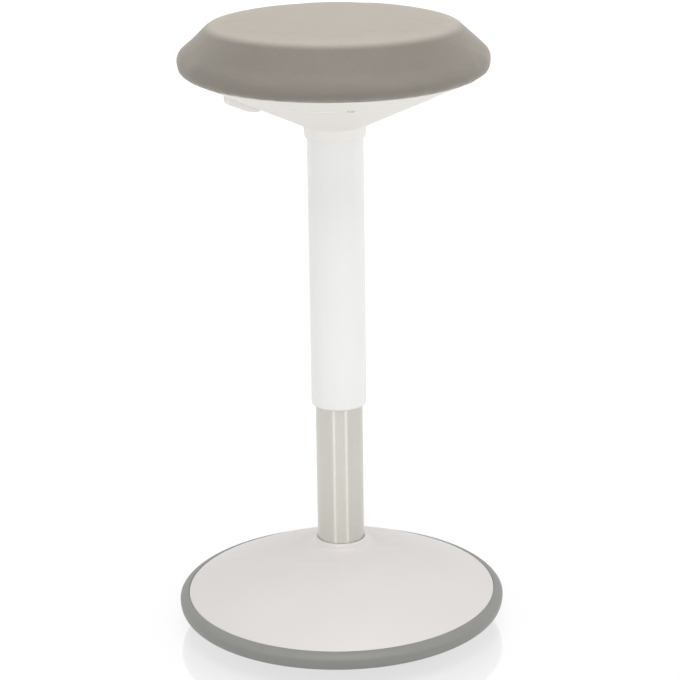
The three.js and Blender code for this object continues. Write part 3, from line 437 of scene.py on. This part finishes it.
fabricLook = {
    "threadPitch": 2.4,  # mm, four times the real 0.6 mm so that it shows
    "threadHeight": 0.10,
    # two tones and the fineness of their mottle, per metre
    "yarns": ("#928c85", "#9e9890", 260.0),
    "patches": ("#948e86", "#9c968d", 38.0),
    # painted light and shade along the cloth from the middle, mm: where each change of tone begins and ends,
    # and its share at the front and back and at the two ends
    "rim": (104, 124, 1.05, 1.05),  # painted highlight: paler towards the crown's edge
    "side": (125, 136, 0.5, 0.575),  # painted shade: darker on the sides, less so at the two ends
    "roll": (158, 182, 1.16, 0.95),  # painted light and shade on the roll below: paler than the side at front and back, darker at the two ends
    "towardsLitEnds": (0.6, 1.0),  # cosine of the angle to the left-right axis, over which the first share becomes the second; painted light at the two ends
}


def makeFabric():
    # plain-woven polyester with a short brushed nap: warm grey, with a pale bloom where it is seen edge-on; its tone
    # carries painted light and shade, paler at the crown's edge and darker on the sides and roll
    material, tree = newMaterial("brushedWovenPolyester")
    laid = addNode(tree, "ShaderNodeUVMap", {"uv_map": "clothLay"})[0]  # metres along the cloth
    parts = addNode(tree, "ShaderNodeSeparateXYZ", links={0: laid})
    radiansPerMetre = 1 / mm / fabricLook["threadPitch"] * math.pi
    waves, rounds = [], []
    for axis in ("X", "Y"):
        phase = addNode(tree, "ShaderNodeMath", {"operation": "MULTIPLY", 1: radiansPerMetre}, {0: parts[axis]})
        wave = addNode(tree, "ShaderNodeMath", {"operation": "SINE"}, {0: phase[0]})[0]
        waves.append(wave)
        rounds.append(addNode(tree, "ShaderNodeMath", {"operation": "ABSOLUTE"}, {0: wave})[0])
    over = addNode(tree, "ShaderNodeMath", {"operation": "MULTIPLY"}, {0: waves[0], 1: waves[1]})[0]
    warpOnTop = addNode(tree, "ShaderNodeMapRange", {"From Min": -0.25, "From Max": 0.25}, {"Value": over})[0]
    weave = {0: warpOnTop, 2: rounds[0], 3: rounds[1]}
    height = addNode(tree, "ShaderNodeMix", {"data_type": "FLOAT"}, weave)[0]
    place = {"Vector": addNode(tree, "ShaderNodeTexCoord")["Object"]}
    fuzz = addNode(tree, "ShaderNodeTexNoise", {"Scale": 900.0, "Detail": 3.0}, place)["Fac"]
    relief = addNode(tree, "ShaderNodeMath", {"operation": "MULTIPLY_ADD", 1: 0.5}, {0: fuzz, 2: height})[0]
    depth = fabricLook["threadHeight"] * mm
    bump = addNode(tree, "ShaderNodeBump", {"Strength": 0.6, "Distance": depth}, {"Height": relief})
    mottled = []
    for name in ("yarns", "patches"):
        dark, pale, fineness = fabricLook[name]
        noise = addNode(tree, "ShaderNodeTexNoise", {"Scale": fineness, "Detail": 4.0}, place)["Fac"]
        tones = {6: linear(dark), 7: linear(pale)}
        mottled.append(addNode(tree, "ShaderNodeMix", {"data_type": "RGBA", **tones}, {0: noise})[2])
    both = addNode(tree, "ShaderNodeMix", {"data_type": "RGBA", 0: 0.5}, {6: mottled[0], 7: mottled[1]})[2]
    reach = addNode(tree, "ShaderNodeVectorMath", {"operation": "LENGTH"}, {0: laid})["Value"]
    # how near the left or right end a point lies, where the painted tone on the sides is lighter
    across = addNode(tree, "ShaderNodeMath", {"operation": "ABSOLUTE"}, {0: parts["X"]})[0]
    towardsLitEnds = addNode(tree, "ShaderNodeMath", {"operation": "DIVIDE"}, {0: across, 1: reach})[0]
    soft, (least, most) = {"interpolation_type": "SMOOTHSTEP"}, fabricLook["towardsLitEnds"]
    # painted light and shade: the tone is made paler towards the crown's edge and darker on the side and roll, by other
    # amounts at the two ends
    share = None
    for name in ("rim", "side", "roll"):
        begins, ends, acrossTone, alongTone = fabricLook[name]
        turning = {**soft, "From Min": least, "From Max": most, "To Min": acrossTone, "To Max": alongTone}
        tone = addNode(tree, "ShaderNodeMapRange", turning, {"Value": towardsLitEnds})[0]
        span = {**soft, "From Min": begins * mm, "From Max": ends * mm, "To Min": 1.0}
        change = addNode(tree, "ShaderNodeMapRange", span, {"Value": reach, "To Max": tone})[0]
        if share:
            change = addNode(tree, "ShaderNodeMath", {"operation": "MULTIPLY"}, {0: share, 1: change})[0]
        share = change
    # the mottled cloth times its painted light and shade
    whole = {"data_type": "RGBA", "blend_type": "MULTIPLY", 0: 1.0}
    clothWithPaintedLight = addNode(tree, "ShaderNodeMix", whole, {6: both, 7: share})
    nap = {"Sheen Weight": 0.33, "Sheen Roughness": 0.4, "Sheen Tint": linear("#f2ece2")}
    settings = {"Roughness": 0.9, "IOR": 1.45, "Specular IOR Level": 0.2, **nap}
    endFinish(tree, settings, {"Base Color": clothWithPaintedLight[2], "Normal": bump[0]})
    return material


columnSteel = makeColumnSteel()
plywood = makePlywood()
fabric = makeFabric()

# The pieces that keep their packed form take a finish by their slot in the record
slotFinishes = {
    "white_plastic": housingPlastic, "white_tube": tubePlastic, "grey_rubber": ringRubber, "sole_rubber": soleRubber,
    "black_rubber": bufferRubber, "satin_steel": columnSteel, "zinc_steel": zincPlate, "black_steel": powderCoat,
    "weight_iron": castIron, "black_nylon": blackNylon, "natural_nylon": acetal, "plywood": plywood, "foam": seatFoam,
    "grey_fabric": fabric,
}
for part in frame["record"]["subparts"]:
    keptPiece = frame["nodes"][part["node"]]
    keptPiece.data.materials.clear()
    keptPiece.data.materials.append(slotFinishes[part["material_slot"]])
print("finishes are made and the packed pieces dressed")


# Foot
foot = {
    "flatRadius": 50, "rocker": 335, "soleThickness": 4.0, "soleStep": 4.0, "soleSharp": 60,
    "soleEdge": 2.0, "soleEdgeRise": 1.6, "soleEdgeSteps": 5,
    "soleTop": (150, 130, 110, 90, 70, 50, 0),  # radii of the points on its upper side
    "grooves": (14, 28, 42, 58, 72, 86, 100, 114, 128, 142, 156), "grooveWidth": 2.0, "grooveDepth": 0.8,
    "groovePoints": (-1, -0.6, -0.3, 0, 0.3, 0.6, 1),  # across a groove, in half widths
    "grooveClear": 0.6,
    "coverRadius": 166.4, "rimHeight": 39.0, "rise": 48.5, "bulge": 3.0, "wall": 3.0, "edge": 0.7,
    "edgeSteps": 6, "coneSteps": 30, "skirtDepth": 6.8, "skirtGap": 0.3,
    "neckFoot": 45.0, "neckRise": 11.3, "neckInner": 25.3, "neckBevel": (0.2, 0.25), "sweepSteps": 14, "lipSteps": 8,
    "neckSweep": (30.6, 7.6), "neckWall": (29.4, 4.0),  # radius, and how far below the neck's top
    "neckLip": (28.6, 26.6),  # radii
    "ringGap": 0.3, "ringWidth": 9.7, "ringWidestDrop": 6.2, "ringDrop": 19.2,
    "ringFullness": 1.6, "ringUnderFullness": 2.5, "ringHalfSteps": 22,
    "steps": 224,
}


def bowlHeight(depth, radius):
    run = max(radius - foot["flatRadius"], 0)
    return foot["rocker"] - math.sqrt((foot["rocker"] - depth) ** 2 - run ** 2)


def grooveDepthAt(radius):
    near = min(abs(radius - groove) for groove in foot["grooves"])
    share = near / (foot["grooveWidth"] / 2)
    return foot["grooveDepth"] * (0.5 + 0.5 * math.cos(math.pi * share)) if share < 1 else 0


def makeSole():
    half, step, outer = foot["grooveWidth"] / 2, foot["soleStep"], foot["coverRadius"]
    radii = {0.0, float(foot["flatRadius"]), *[i * step for i in range(1, int(outer / step))]}
    for groove in foot["grooves"]:
        radii = {r for r in radii if abs(r - groove) > half + foot["grooveClear"]}
        radii |= {groove + half * k for k in foot["groovePoints"]}
    under = [(r, bowlHeight(0, r) + grooveDepthAt(r)) for r in sorted(radii) if r < outer - foot["soleEdge"]]
    rim = bowlHeight(0, outer)
    edge = curved(under[-1], (outer, rim), (outer, rim + foot["soleEdgeRise"]), foot["soleEdgeSteps"])
    top = [(r, bowlHeight(foot["soleThickness"], r)) for r in (outer, *foot["soleTop"])]
    sole = turned("soleRubber", under + edge + top, foot["steps"], soleRubber, foot["soleSharp"])
    return dress(sole, "base", "sole_rubber", "base_sole")


def coverHeight(radius):
    share = (foot["coverRadius"] - radius) / (foot["coverRadius"] - foot["neckFoot"])
    return foot["rimHeight"] + foot["rise"] * share + 4 * foot["bulge"] * share * (1 - share)


def makeCover():
    outer, wall, steps, rim = foot["coverRadius"], foot["wall"], foot["coneSteps"], foot["rimHeight"]
    corner = outer - foot["edge"]
    run = foot["neckFoot"] - corner
    line = [(outer, rim - foot["edge"])]
    line += curved(line[0], (outer, rim), (corner, coverHeight(corner)), foot["edgeSteps"])
    line += [(r, coverHeight(r)) for r in [corner + run * i / steps for i in range(1, steps + 1)]]
    neckTop = line[-1][1] + foot["neckRise"]
    sweep, wallTop, lip, bevel = foot["neckSweep"], foot["neckWall"], foot["neckLip"], foot["neckBevel"]
    line += curved(line[-1], (sweep[0], neckTop - sweep[1]), (wallTop[0], neckTop - wallTop[1]), foot["sweepSteps"])
    line += curved(line[-1], (lip[0], neckTop), (lip[1], neckTop), foot["lipSteps"])
    line += [(foot["neckInner"] + bevel[0], neckTop), (foot["neckInner"], neckTop - bevel[1])]
    # the inside lies a wall's thickness lower and needs a third of the points
    inner = [(r, z - wall) for r, z in line[::-1] if r <= outer - wall][2::3]
    skirtFoot = bowlHeight(foot["skirtDepth"], outer) + foot["skirtGap"]
    skirt = [(outer - wall, coverHeight(outer - wall) - wall), (outer - wall, skirtFoot), (outer, skirtFoot)]
    cover = turned("footCover", line + inner + skirt, foot["steps"], footPlastic)
    return dress(cover, "base", "white_plastic", "base_cover")


def makeRing():
    # a round bumper: fullest near its top, turned in under its lower half
    inner, top, half = foot["coverRadius"] + foot["ringGap"], foot["rimHeight"], foot["ringHalfSteps"]
    widest, lowest = top - foot["ringWidestDrop"], top - foot["ringDrop"]
    line = [(inner, lowest)]
    for i in range(1, 2 * half + 1):
        angle = math.pi / 2 * (i / half - 1)
        power = 2 / (foot["ringFullness"] if angle > 0 else foot["ringUnderFullness"])
        reach = top - widest if angle > 0 else widest - lowest
        rise = reach * math.copysign(abs(math.sin(angle)) ** power, angle)
        line.append((inner + foot["ringWidth"] * math.cos(angle) ** power, widest + rise))
    ring = turned("rubberRing", line, foot["steps"], ringRubber)
    return dress(ring, "base", "grey_rubber", "base_ring")


makeSole()
makeCover()
makeRing()
print("foot: sole, cover and ring")


# Column and sleeve
column = {
    "radius": 25.0, "footRadius": 24.2, "wall": 1.5, "foot": 28.0, "socketTop": 80.0, "top": 392.0,
    "hole": 4.3, "floor": 3.0, "footEdge": 0.8, "outerEdge": 0.6, "innerEdge": 0.4, "steps": 128,
}
sleeve = {
    "radius": 29.25, "bore": 27.25, "lip": 25.5, "bottom": 250.9, "lipHeight": 3.2, "lipBevel": (0.3, 0.4),
    "edge": 3.6, "edgeSteps": 10, "flange": 32.25, "flangeLow": 556.4, "flangeHigh": 559.4, "top": 564.4,
    "softEdge": 0.3, "softSteps": 2, "steps": 128,
}


def makeColumn():
    outer, bore, hole = column["radius"], column["radius"] - column["wall"], column["hole"]
    low, floor, top = column["foot"], column["foot"] + column["floor"], column["top"]
    line = eased([
        (hole, low), (column["footRadius"], low, column["footEdge"]), (outer, column["socketTop"]),
        (outer, top, column["outerEdge"]), (bore, top, column["innerEdge"]), (bore, column["socketTop"]),
        (column["footRadius"] - column["wall"], floor), (hole, floor)])
    tube = turned("steelColumn", line, column["steps"], columnSteel)
    return dress(tube, "base", "satin_steel", "outer_column")


def makeSleeve():
    outer, bore, lip, flange = sleeve["radius"], sleeve["bore"], sleeve["lip"], sleeve["flange"]
    low, top, edge, soft = sleeve["bottom"], sleeve["top"], sleeve["edge"], sleeve["softEdge"]
    line = [(lip, low + sleeve["lipBevel"][1]), (lip + sleeve["lipBevel"][0], low), (outer - edge, low)]
    line += curved(line[-1], (outer, low), (outer, low + edge), sleeve["edgeSteps"])
    line += eased([
        (outer, sleeve["flangeLow"]), (flange, sleeve["flangeLow"], soft), (flange, sleeve["flangeHigh"], soft),
        (outer, sleeve["flangeHigh"]), (outer, top, soft), (bore, top, soft),
        (bore, low + sleeve["lipHeight"]), (lip, low + sleeve["lipHeight"])], sleeve["softSteps"])
    tube = turned("columnSleeve", line, sleeve["steps"], tubePlastic)
    return dress(tube, "seat", "white_tube", "column_sleeve")


makeColumn()
makeSleeve()
print("column and sleeve")


# Housing under the seat, with its screws
housing = {
    "bore": 29.55, "collarFoot": (31.4, 541.5), "collarTop": (32.8, 553.6), "rim": (141.0, 603.2), "top": 604.7,
    "wallUp": 2.75, "collarEdges": (0.5, 1.6), "rimLift": 0.2, "rimEdges": (0.8, 0.5),
    "stepRadius": 107.0, "stepDepth": 0.6, "stepWidth": 0.5, "stepEdges": (0.5, 0.4),
    "notchRoot": 71.0, "notchHalfWidth": 24.0, "notchCorner": 6.0, "notchReach": 120.0, "notchPast": 5,
    "postRadius": 6.0, "postSink": 1.0, "postSteps": 40,
    "cutRise": 1.6, "cutPast": 20,  # posts are cut off inside the cone's wall
    "screwCircle": 108.0, "firstScrew": -80.0, "screwCount": 3, "pocketRadius": 3.9, "screwSeat": 596.07,
    "holeRadius": 2.05, "holePast": 2, "holeSteps": 24,
    "boardFoot": 606.5, "sharp": 32, "steps": 224,
}


def coneHeight(radius):
    (r0, z0), (r1, z1) = housing["collarTop"], housing["rim"]
    return z0 + (radius - r0) * (z1 - z0) / (r1 - r0)


def combine(piece, other, operation):
    modifier = piece.modifiers.new("combine", "BOOLEAN")
    modifier.operation = operation
    modifier.solver = "EXACT"
    modifier.object = other
    settle(piece)
    discard(other)
    return piece


def roundedPrism(name, size, corner, low, high, finish):
    # upright block with rounded corners round the origin, its size being (length, width)
    steps = 6
    across, deep = size[0] / 2 - corner, size[1] / 2 - corner
    loop = []
    for cx, cy, start in ((1, 1, 0), (-1, 1, 90), (-1, -1, 180), (1, -1, 270)):
        for i in range(steps + 1):
            angle = math.radians(start + 90 / steps * i)
            loop.append(((cx * across + corner * math.cos(angle)) * mm, (cy * deep + corner * math.sin(angle)) * mm))
    count = len(loop)
    points = [(x, y, low * mm) for x, y in loop] + [(x, y, high * mm) for x, y in loop]
    faces = [tuple(range(count))[::-1], tuple(range(count, 2 * count))]
    faces += [(i, (i + 1) % count, (i + 1) % count + count, i + count) for i in range(count)]
    mesh = bpy.data.meshes.new(name)
    mesh.from_pydata(points, [], faces)
    mesh.materials.append(finish)
    return newObject(name, mesh)


def atScrews(piece, finish):
    return runTree(piece, roundTree, {
        "Count": housing["screwCount"], "Circle Radius": housing["screwCircle"] * mm,
        "First Angle": math.radians(housing["firstScrew"]), "Finish": finish})


def standUp(name, radius, low, high, steps):
    # upright rods at the three screws
    rod = turned(name, [(0, low), (radius, low), (radius, high), (0, high)], steps, housingPlastic)
    return atScrews(rod, housingPlastic)


def makeHousing():
    step, after = housing["stepRadius"], housing["stepRadius"] + housing["stepWidth"]
    (footR, footZ), (neckR, neckZ), (rimR, rimZ) = housing["collarFoot"], housing["collarTop"], housing["rim"]
    collarEdges, stepEdges, rimEdges = housing["collarEdges"], housing["stepEdges"], housing["rimEdges"]
    top, bore, seat, board = housing["top"], housing["bore"], housing["screwSeat"], housing["boardFoot"]
    slope = (rimZ - neckZ) / (rimR - neckR)
    innerRim = neckR + (top - housing["wallUp"] - neckZ) / slope
    line = eased([
        (bore, footZ), (footR, footZ, collarEdges[0]), (neckR, neckZ, collarEdges[1]),
        (step, coneHeight(step), stepEdges[0]), (after, coneHeight(after) + housing["stepDepth"], stepEdges[1]),
        (rimR, rimZ + housing["rimLift"], rimEdges[0]), (rimR, top, rimEdges[1]),
        (innerRim, top), (bore, coneHeight(bore) + housing["wallUp"])])
    shell = turned("seatHousing", line, housing["steps"], housingPlastic)
    postFoot = coneHeight(housing["screwCircle"]) - housing["postSink"]
    posts = standUp("posts", housing["postRadius"], postFoot, board, housing["postSteps"])
    past, rise = housing["cutPast"], housing["cutRise"]
    below = turned("below", [
        (0, neckZ - past), (rimR + past, neckZ - past), (rimR + past, coneHeight(rimR + past) + rise),
        (neckR, neckZ + rise), (0, neckZ + rise)], housing["steps"], housingPlastic)
    combine(posts, below, "DIFFERENCE")
    combine(shell, posts, "UNION")
    reach, past = housing["notchReach"], housing["notchPast"]
    size, corner = (reach, 2 * housing["notchHalfWidth"]), housing["notchCorner"]
    notch = roundedPrism("notch", size, corner, footZ - past, top + past, housingPlastic)
    notch.data.transform(Matrix.Translation((-(housing["notchRoot"] + reach / 2) * mm, 0, 0)))
    combine(shell, notch, "DIFFERENCE")
    past = housing["holePast"]
    pockets = standUp("pockets", housing["pocketRadius"], neckZ, seat, housing["postSteps"])
    combine(shell, pockets, "DIFFERENCE")
    holes = standUp("holes", housing["holeRadius"], seat - past, board + past, housing["holeSteps"])
    combine(shell, holes, "DIFFERENCE")
    shell.data.shade_smooth()
    shell.data.set_sharp_from_angle(angle=math.radians(housing["sharp"]))
    return dress(shell, "seat", "white_plastic", "seat_housing")


screw = {
    "head": 3.6, "headLow": 593.37, "seat": 595.77, "faceRound": (1.6, 1.5), "faceSteps": 6, "bevel": 0.2,
    "shank": 1.75, "tip": 615.97, "point": 0.4,
    "threads": 17, "pitch": 1.1, "threadDepth": 0.3, "threadRoot": 0.5, "threadCrest": 0.95,
    "recess": 1.5, "arm": (4.2, 0.75), "armCorner": 0.3, "armPast": 1, "sharp": 40, "steps": 36,
}


def makeScrews():
    # pan-headed screws that point up, each with a cross recess in its face
    low, seat, head, shank = screw["headLow"], screw["seat"], screw["head"], screw["shank"]
    inward, upward = screw["faceRound"]
    line = [(0, low), (head - inward, low)]
    line += curved(line[-1], (head, low), (head, low + upward), screw["faceSteps"])
    line += [(head, seat - screw["bevel"]), (head - screw["bevel"], seat), (shank, seat)]
    for i in range(screw["threads"]):  # a rolled thread, as rings
        turn = seat + screw["pitch"] * i
        line += [(shank - screw["threadDepth"], turn + screw["threadRoot"]), (shank, turn + screw["threadCrest"])]
    line += [(screw["point"], screw["tip"]), (0, screw["tip"])]
    one = turned("housingScrews", line, screw["steps"], zincPlate)
    armLow, armHigh = low - screw["armPast"], low + screw["recess"]
    for degrees in (0, 90):
        arm = roundedPrism("arm", screw["arm"], screw["armCorner"], armLow, armHigh, zincPlate)
        arm.data.transform(Matrix.Rotation(math.radians(degrees), 4, "Z"))
        combine(one, arm, "DIFFERENCE")
    atScrews(one, zincPlate)
    one.data.set_sharp_from_angle(angle=math.radians(screw["sharp"]))
    return dress(one, "seat", "zinc_steel", "housing_screw_1", "housing_screw_2", "housing_screw_3")


makeHousing()
makeScrews()
print("housing and screws")


# Release handle: a paddle with a thick rounded root
handle = {
    "root": -74.0, "tip": -112.5, "halfWidth": 21.0, "planCorner": 7.0, "rootTop": 587.2, "tipTop": 588.5,
    "under": (  # three curves: round at the root, level, and up at the tip
        ((-74.0, 573.6), (-75.2, 570.6), (-80.9, 570.5)), ((-80.9, 570.5), (-86.5, 570.5), (-90.5, 571.9)),
        ((-107.0, 577.9), (-112.2, 579.8), (-112.5, 581.6))),
    "underSteps": 8,
    "edge": 1.3, "edgeExtra": 0.7, "edgeMost": 0.98, "endNarrowing": 0.6,
    "sections": (  # how far each lies from the root
        0, 0.05, 0.15, 0.3, 0.5, 0.8, 1.1, 1.5, 2, 2.6, 3.3, 4.2, 5.2, 7, 9, 11, 12.5, 14, 15.5, 17, 20, 24, 28, 31,
        32.5, 33.5, 34.5, 35.4, 36.2, 36.8, 37.3, 37.7, 38.0, 38.2, 38.35, 38.45, 38.5),
    "around": 56, "sharp": 42,
    "pocket": (48.6, 18.6), "pocketCorner": 0.4, "pocketLevels": (581.0, 584.6),
}


def underHeight(x):
    points = [handle["under"][0][0]]
    for curve in handle["under"]:
        points += curved(*curve, handle["underSteps"])
    for (xa, za), (xb, zb) in zip(points, points[1:]):
        if xb <= x <= xa:
            return za + (zb - za) * (xa - x) / max(xa - xb, 1e-6)
    return points[-1][1]


def drawnIn(depth, radius):
    # how far a rounded corner draws in at a depth from its end
    return radius - math.sqrt(max(radius ** 2 - (radius - min(depth, radius)) ** 2, 0))


def makeHandle():
    length, places, around = handle["root"] - handle["tip"], handle["sections"], handle["around"]
    points, faces = [], []
    for place in places:
        x, toTip = handle["root"] - place, length - place
        top = handle["rootTop"] + (handle["tipTop"] - handle["rootTop"]) * (place / length)
        low = underHeight(x)
        inset = drawnIn(min(place, toTip), handle["edge"])
        halfWidth = handle["halfWidth"] - drawnIn(toTip, handle["planCorner"]) - inset * handle["endNarrowing"]
        middle, halfHeight = (top + low) / 2, (top - low) / 2 - inset
        edge = min(handle["edge"] + handle["edgeExtra"], halfHeight * handle["edgeMost"])
        for i in range(around):
            angle = 2 * math.pi * (i + 0.5) / around
            cx, cz = math.cos(angle), math.sin(angle)
            y = math.copysign(halfWidth - edge, cx) + edge * cx
            z = math.copysign(halfHeight - edge, cz) + edge * cz
            points.append((x * mm, y * mm, (middle + z) * mm))
    for k in range(len(places) - 1):
        for i in range(around):
            j = (i + 1) % around
            faces.append((k * around + i, k * around + j, (k + 1) * around + j, (k + 1) * around + i))
    last = (len(places) - 1) * around
    faces += [tuple(range(around))[::-1], tuple(range(last, last + around))]
    mesh = bpy.data.meshes.new("releaseHandle")
    mesh.from_pydata(points, [], faces)
    mesh.materials.append(housingPlastic)
    if volumeOf(mesh) < 0:
        mesh.flip_normals()
    piece = newObject("releaseHandle", mesh)
    pocket = roundedPrism("pocket", handle["pocket"], handle["pocketCorner"], *handle["pocketLevels"], housingPlastic)
    pocket.data.transform(Matrix.Translation((handle["root"] * mm, 0, 0)))
    combine(piece, pocket, "DIFFERENCE")
    piece.data.shade_smooth()
    piece.data.set_sharp_from_angle(angle=math.radians(handle["sharp"]))
    return dress(piece, "lever", "white_plastic", "lever_handle")


makeHandle()
print("release handle")


# Cushion: foam under one tight skin, filled by a cloth simulation
cushion = {
    "underside": 605.0,
    "curves": (  # crown, shoulder and side, each with its steps
        ((0, 669.7), (84.0, 669.7), (123.6, 658.9), 26), ((123.6, 658.9), (127.5, 657.8), (130.6, 655.1), 18),
        ((130.6, 655.1), (142.75, 643.65), (154.89, 632.2), 12)),
    "rollCentre": (144.6, 621.3), "rollRadius": 15.0, "rollFrom": 0.8155, "rollTo": -1.08, "rollSteps": 24,
    "tuck": ((147.0, 605.0), (139.0, 605.0), 8),
    "flat": 129, "lap": 118.0, "lapBevel": 0.4, "skin": 1.5, "board": (136.3, 618.6), "nearly": 0.01,
    "sharp": 70, "steps": 256,
    # the simulation starts this much smaller, from blocks of this size, and its skin is held under the board
    "startInset": 2.2, "coreSteps": 96, "voxel": 5.0, "heldHeight": 3, "heldRadius": 143, "frames": 20, "maxMove": 6.0,
    "cloth": {
        "quality": 6, "mass": 0.25, "use_pressure": True, "uniform_pressure_force": 4.0, "tension_stiffness": 18,
        "compression_stiffness": 18, "shear_stiffness": 8, "bending_stiffness": 1.5},
    "rayStart": 12, "rayLength": 30, "unevenness": 0.5, "smoothing": 10,
    "neatEdge": (128.0, 24.0),  # along the cloth: the crown's edge, and how near it the skin is even
    # the gathers deepen below a height and outside a radius, each over a distance
    "puckers": 52, "puckerDepth": 0.45, "puckerHeights": (620, 12), "puckerRadii": (141, 4),
    "puckerDrift": (1.7, 5), "puckerSwell": (0.3, 13),
}


def cushionLine(inset):
    line = [cushion["curves"][0][0]]
    for curve in cushion["curves"]:
        line += curved(*curve)
    (cx, cz), radius, steps = cushion["rollCentre"], cushion["rollRadius"], cushion["rollSteps"]
    for i in range(1, steps + 1):
        angle = cushion["rollFrom"] + (cushion["rollTo"] - cushion["rollFrom"]) * i / steps
        line.append((cx + radius * math.cos(angle), cz + radius * math.sin(angle)))
    line += curved(line[-1], *cushion["tuck"])
    if not inset:
        return line
    moved = []
    for i, (r, z) in enumerate(line):
        (ra, za), (rb, zb) = line[max(i - 1, 0)], line[min(i + 1, len(line) - 1)]
        along = Vector((rb - ra, zb - za)).normalized()
        moved.append((max(r + along.y * inset, 0), z - along.x * inset))
    moved[0] = (0, moved[0][1])
    return moved


def filledCore():
    # pressure fills the skin from a smaller form, while its lap under the board is held
    inset = cushion["startInset"]
    outline = cushionLine(inset)
    core = turned("cushionCore", outline + [(0, outline[-1][1])], cushion["coreSteps"], fabric)
    remesh = core.modifiers.new("remesh", "REMESH")
    remesh.mode = "VOXEL"
    remesh.voxel_size = cushion["voxel"] * mm
    settle(core)
    start = [v.co.copy() for v in core.data.vertices]
    held = core.vertex_groups.new(name="held")
    for vertex in core.data.vertices:
        low = (cushion["underside"] + inset + cushion["heldHeight"]) * mm - vertex.co.z
        inward = cushion["heldRadius"] * mm - vertex.co.to_2d().length
        if low > 0 and inward > 0:
            held.add([vertex.index], 1.0, "REPLACE")
    cloth = core.modifiers.new("cloth", "CLOTH")
    for name, value in cushion["cloth"].items():
        setattr(cloth.settings, name, value)
    cloth.settings.vertex_group_mass = "held"
    cloth.settings.effector_weights.gravity = 0
    cloth.point_cache.frame_start, cloth.point_cache.frame_end = 1, cushion["frames"]
    for number in range(1, cushion["frames"] + 1):
        scene.frame_set(number)
    settle(core)
    limit = cushion["maxMove"] * mm
    for vertex, first in zip(core.data.vertices, start):
        move = vertex.co - first
        if move.length > limit:
            vertex.co = first + move * (limit / move.length)
    scene.frame_set(1)
    return core


def filledUnevenness(mesh, outer, normals, ringOf):
    # how far the filled skin stands off the outline, which keeps the level of each ring
    core = filledCore()
    tree = BVHTree.FromPolygons([v.co for v in core.data.vertices], [tuple(p.vertices) for p in core.data.polygons])
    shift, rings = [0.0] * len(mesh.vertices), {}
    away, reach = cushion["rayStart"] * mm, cushion["rayLength"] * mm
    for i in outer:
        here, normal = mesh.vertices[i].co, normals[i]
        found = tree.ray_cast(here + normal * away, -normal, reach)[0]
        if found is not None:
            shift[i] = (found - here).dot(normal)
            rings.setdefault(ringOf[i], []).append(shift[i])
    discard(core)
    limit = cushion["unevenness"] * mm
    for i in outer:
        level = sum(rings[ringOf[i]]) / len(rings[ringOf[i]]) if ringOf[i] in rings else shift[i]
        shift[i] = max(-limit, min(limit, shift[i] - level))
    near = [[] for _ in mesh.vertices]
    for edge in mesh.edges:
        a, b = edge.vertices
        near[a].append(b)
        near[b].append(a)
    for _ in range(cushion["smoothing"]):
        shift = [0.5 * s + 0.5 * sum(shift[j] for j in near[i]) / len(near[i]) for i, s in enumerate(shift)]
    print("cushion: the filled skin is uneven by", round(min(shift) / mm, 2), "to", round(max(shift) / mm, 2), "mm")
    return shift


def onSkin(place):
    # neither on the flat underside nor in the board's recess
    nearly, (boardR, boardZ) = cushion["nearly"], cushion["board"]
    inRecess = place.to_2d().length < (boardR + nearly) * mm and place.z < (boardZ + nearly) * mm
    return not (place.z < (cushion["underside"] + nearly) * mm or inRecess)


def gatherDepth(place, angle):
    # the skin is gathered where it turns under, and the gathers run out before the widest line
    (topmost, fall), (inmost, spread) = cushion["puckerHeights"], cushion["puckerRadii"]
    lower = max(0.0, min(1.0, (topmost * mm - place.z) / (fall * mm)))
    further = max(0.0, min(1.0, (place.to_2d().length - inmost * mm) / (spread * mm)))
    (drift, drifts), (swell, swells) = cushion["puckerDrift"], cushion["puckerSwell"]
    wave = math.sin(cushion["puckers"] * angle + drift * math.sin(drifts * angle))
    wave *= 1 - swell + swell * math.sin(swells * angle + 1)
    return cushion["puckerDepth"] * mm * (lower * further) * (wave - 1) / 2


def makeCushion():
    lap, bevel, low, skin = cushion["lap"], cushion["lapBevel"], cushion["underside"], cushion["skin"]
    boardR, boardZ = cushion["board"]
    full = cushionLine(0) + [
        (cushion["flat"], low), (lap + bevel, low), (lap, low + bevel), (lap, low + skin),
        (boardR, low + skin), (boardR, boardZ), (0, boardZ)]
    piece = turned("seatCushion", full, cushion["steps"], fabric, cushion["sharp"])
    mesh = piece.data
    outer = [v.index for v in mesh.vertices if onSkin(v.co)]
    normals = [v.normal.copy() for v in mesh.vertices]
    angles = [math.atan2(v.co.y, v.co.x) for v in mesh.vertices]
    places = KDTree(len(full))
    lengths, total = [], 0.0
    for i, (r, z) in enumerate(full):
        total += math.dist(full[i - 1], full[i]) if i else 0
        lengths.append(total * mm)
        places.insert((r * mm, z * mm, 0), i)
    places.balance()
    ringOf = [places.find((v.co.to_2d().length, v.co.z, 0))[1] for v in mesh.vertices]
    shift = filledUnevenness(mesh, outer, normals, ringOf)
    edgeAt, edgeReach = cushion["neatEdge"]
    for i in outer:
        vertex = mesh.vertices[i]
        calm = min(1.0, abs(lengths[ringOf[i]] / mm - edgeAt) / edgeReach)
        vertex.co += normals[i] * (shift[i] * calm ** 2 + gatherDepth(vertex.co, angles[i]))
    layer = mesh.uv_layers.new(name="clothLay")
    for loop in mesh.loops:
        length, angle = lengths[ringOf[loop.vertex_index]], angles[loop.vertex_index]
        layer.data[loop.index].uv = (length * math.cos(angle), length * math.sin(angle))
    dress(piece, "seat", "grey_fabric", "seat_fabric", "seat_foam")
    return piece


makeCushion()
print("cushion")
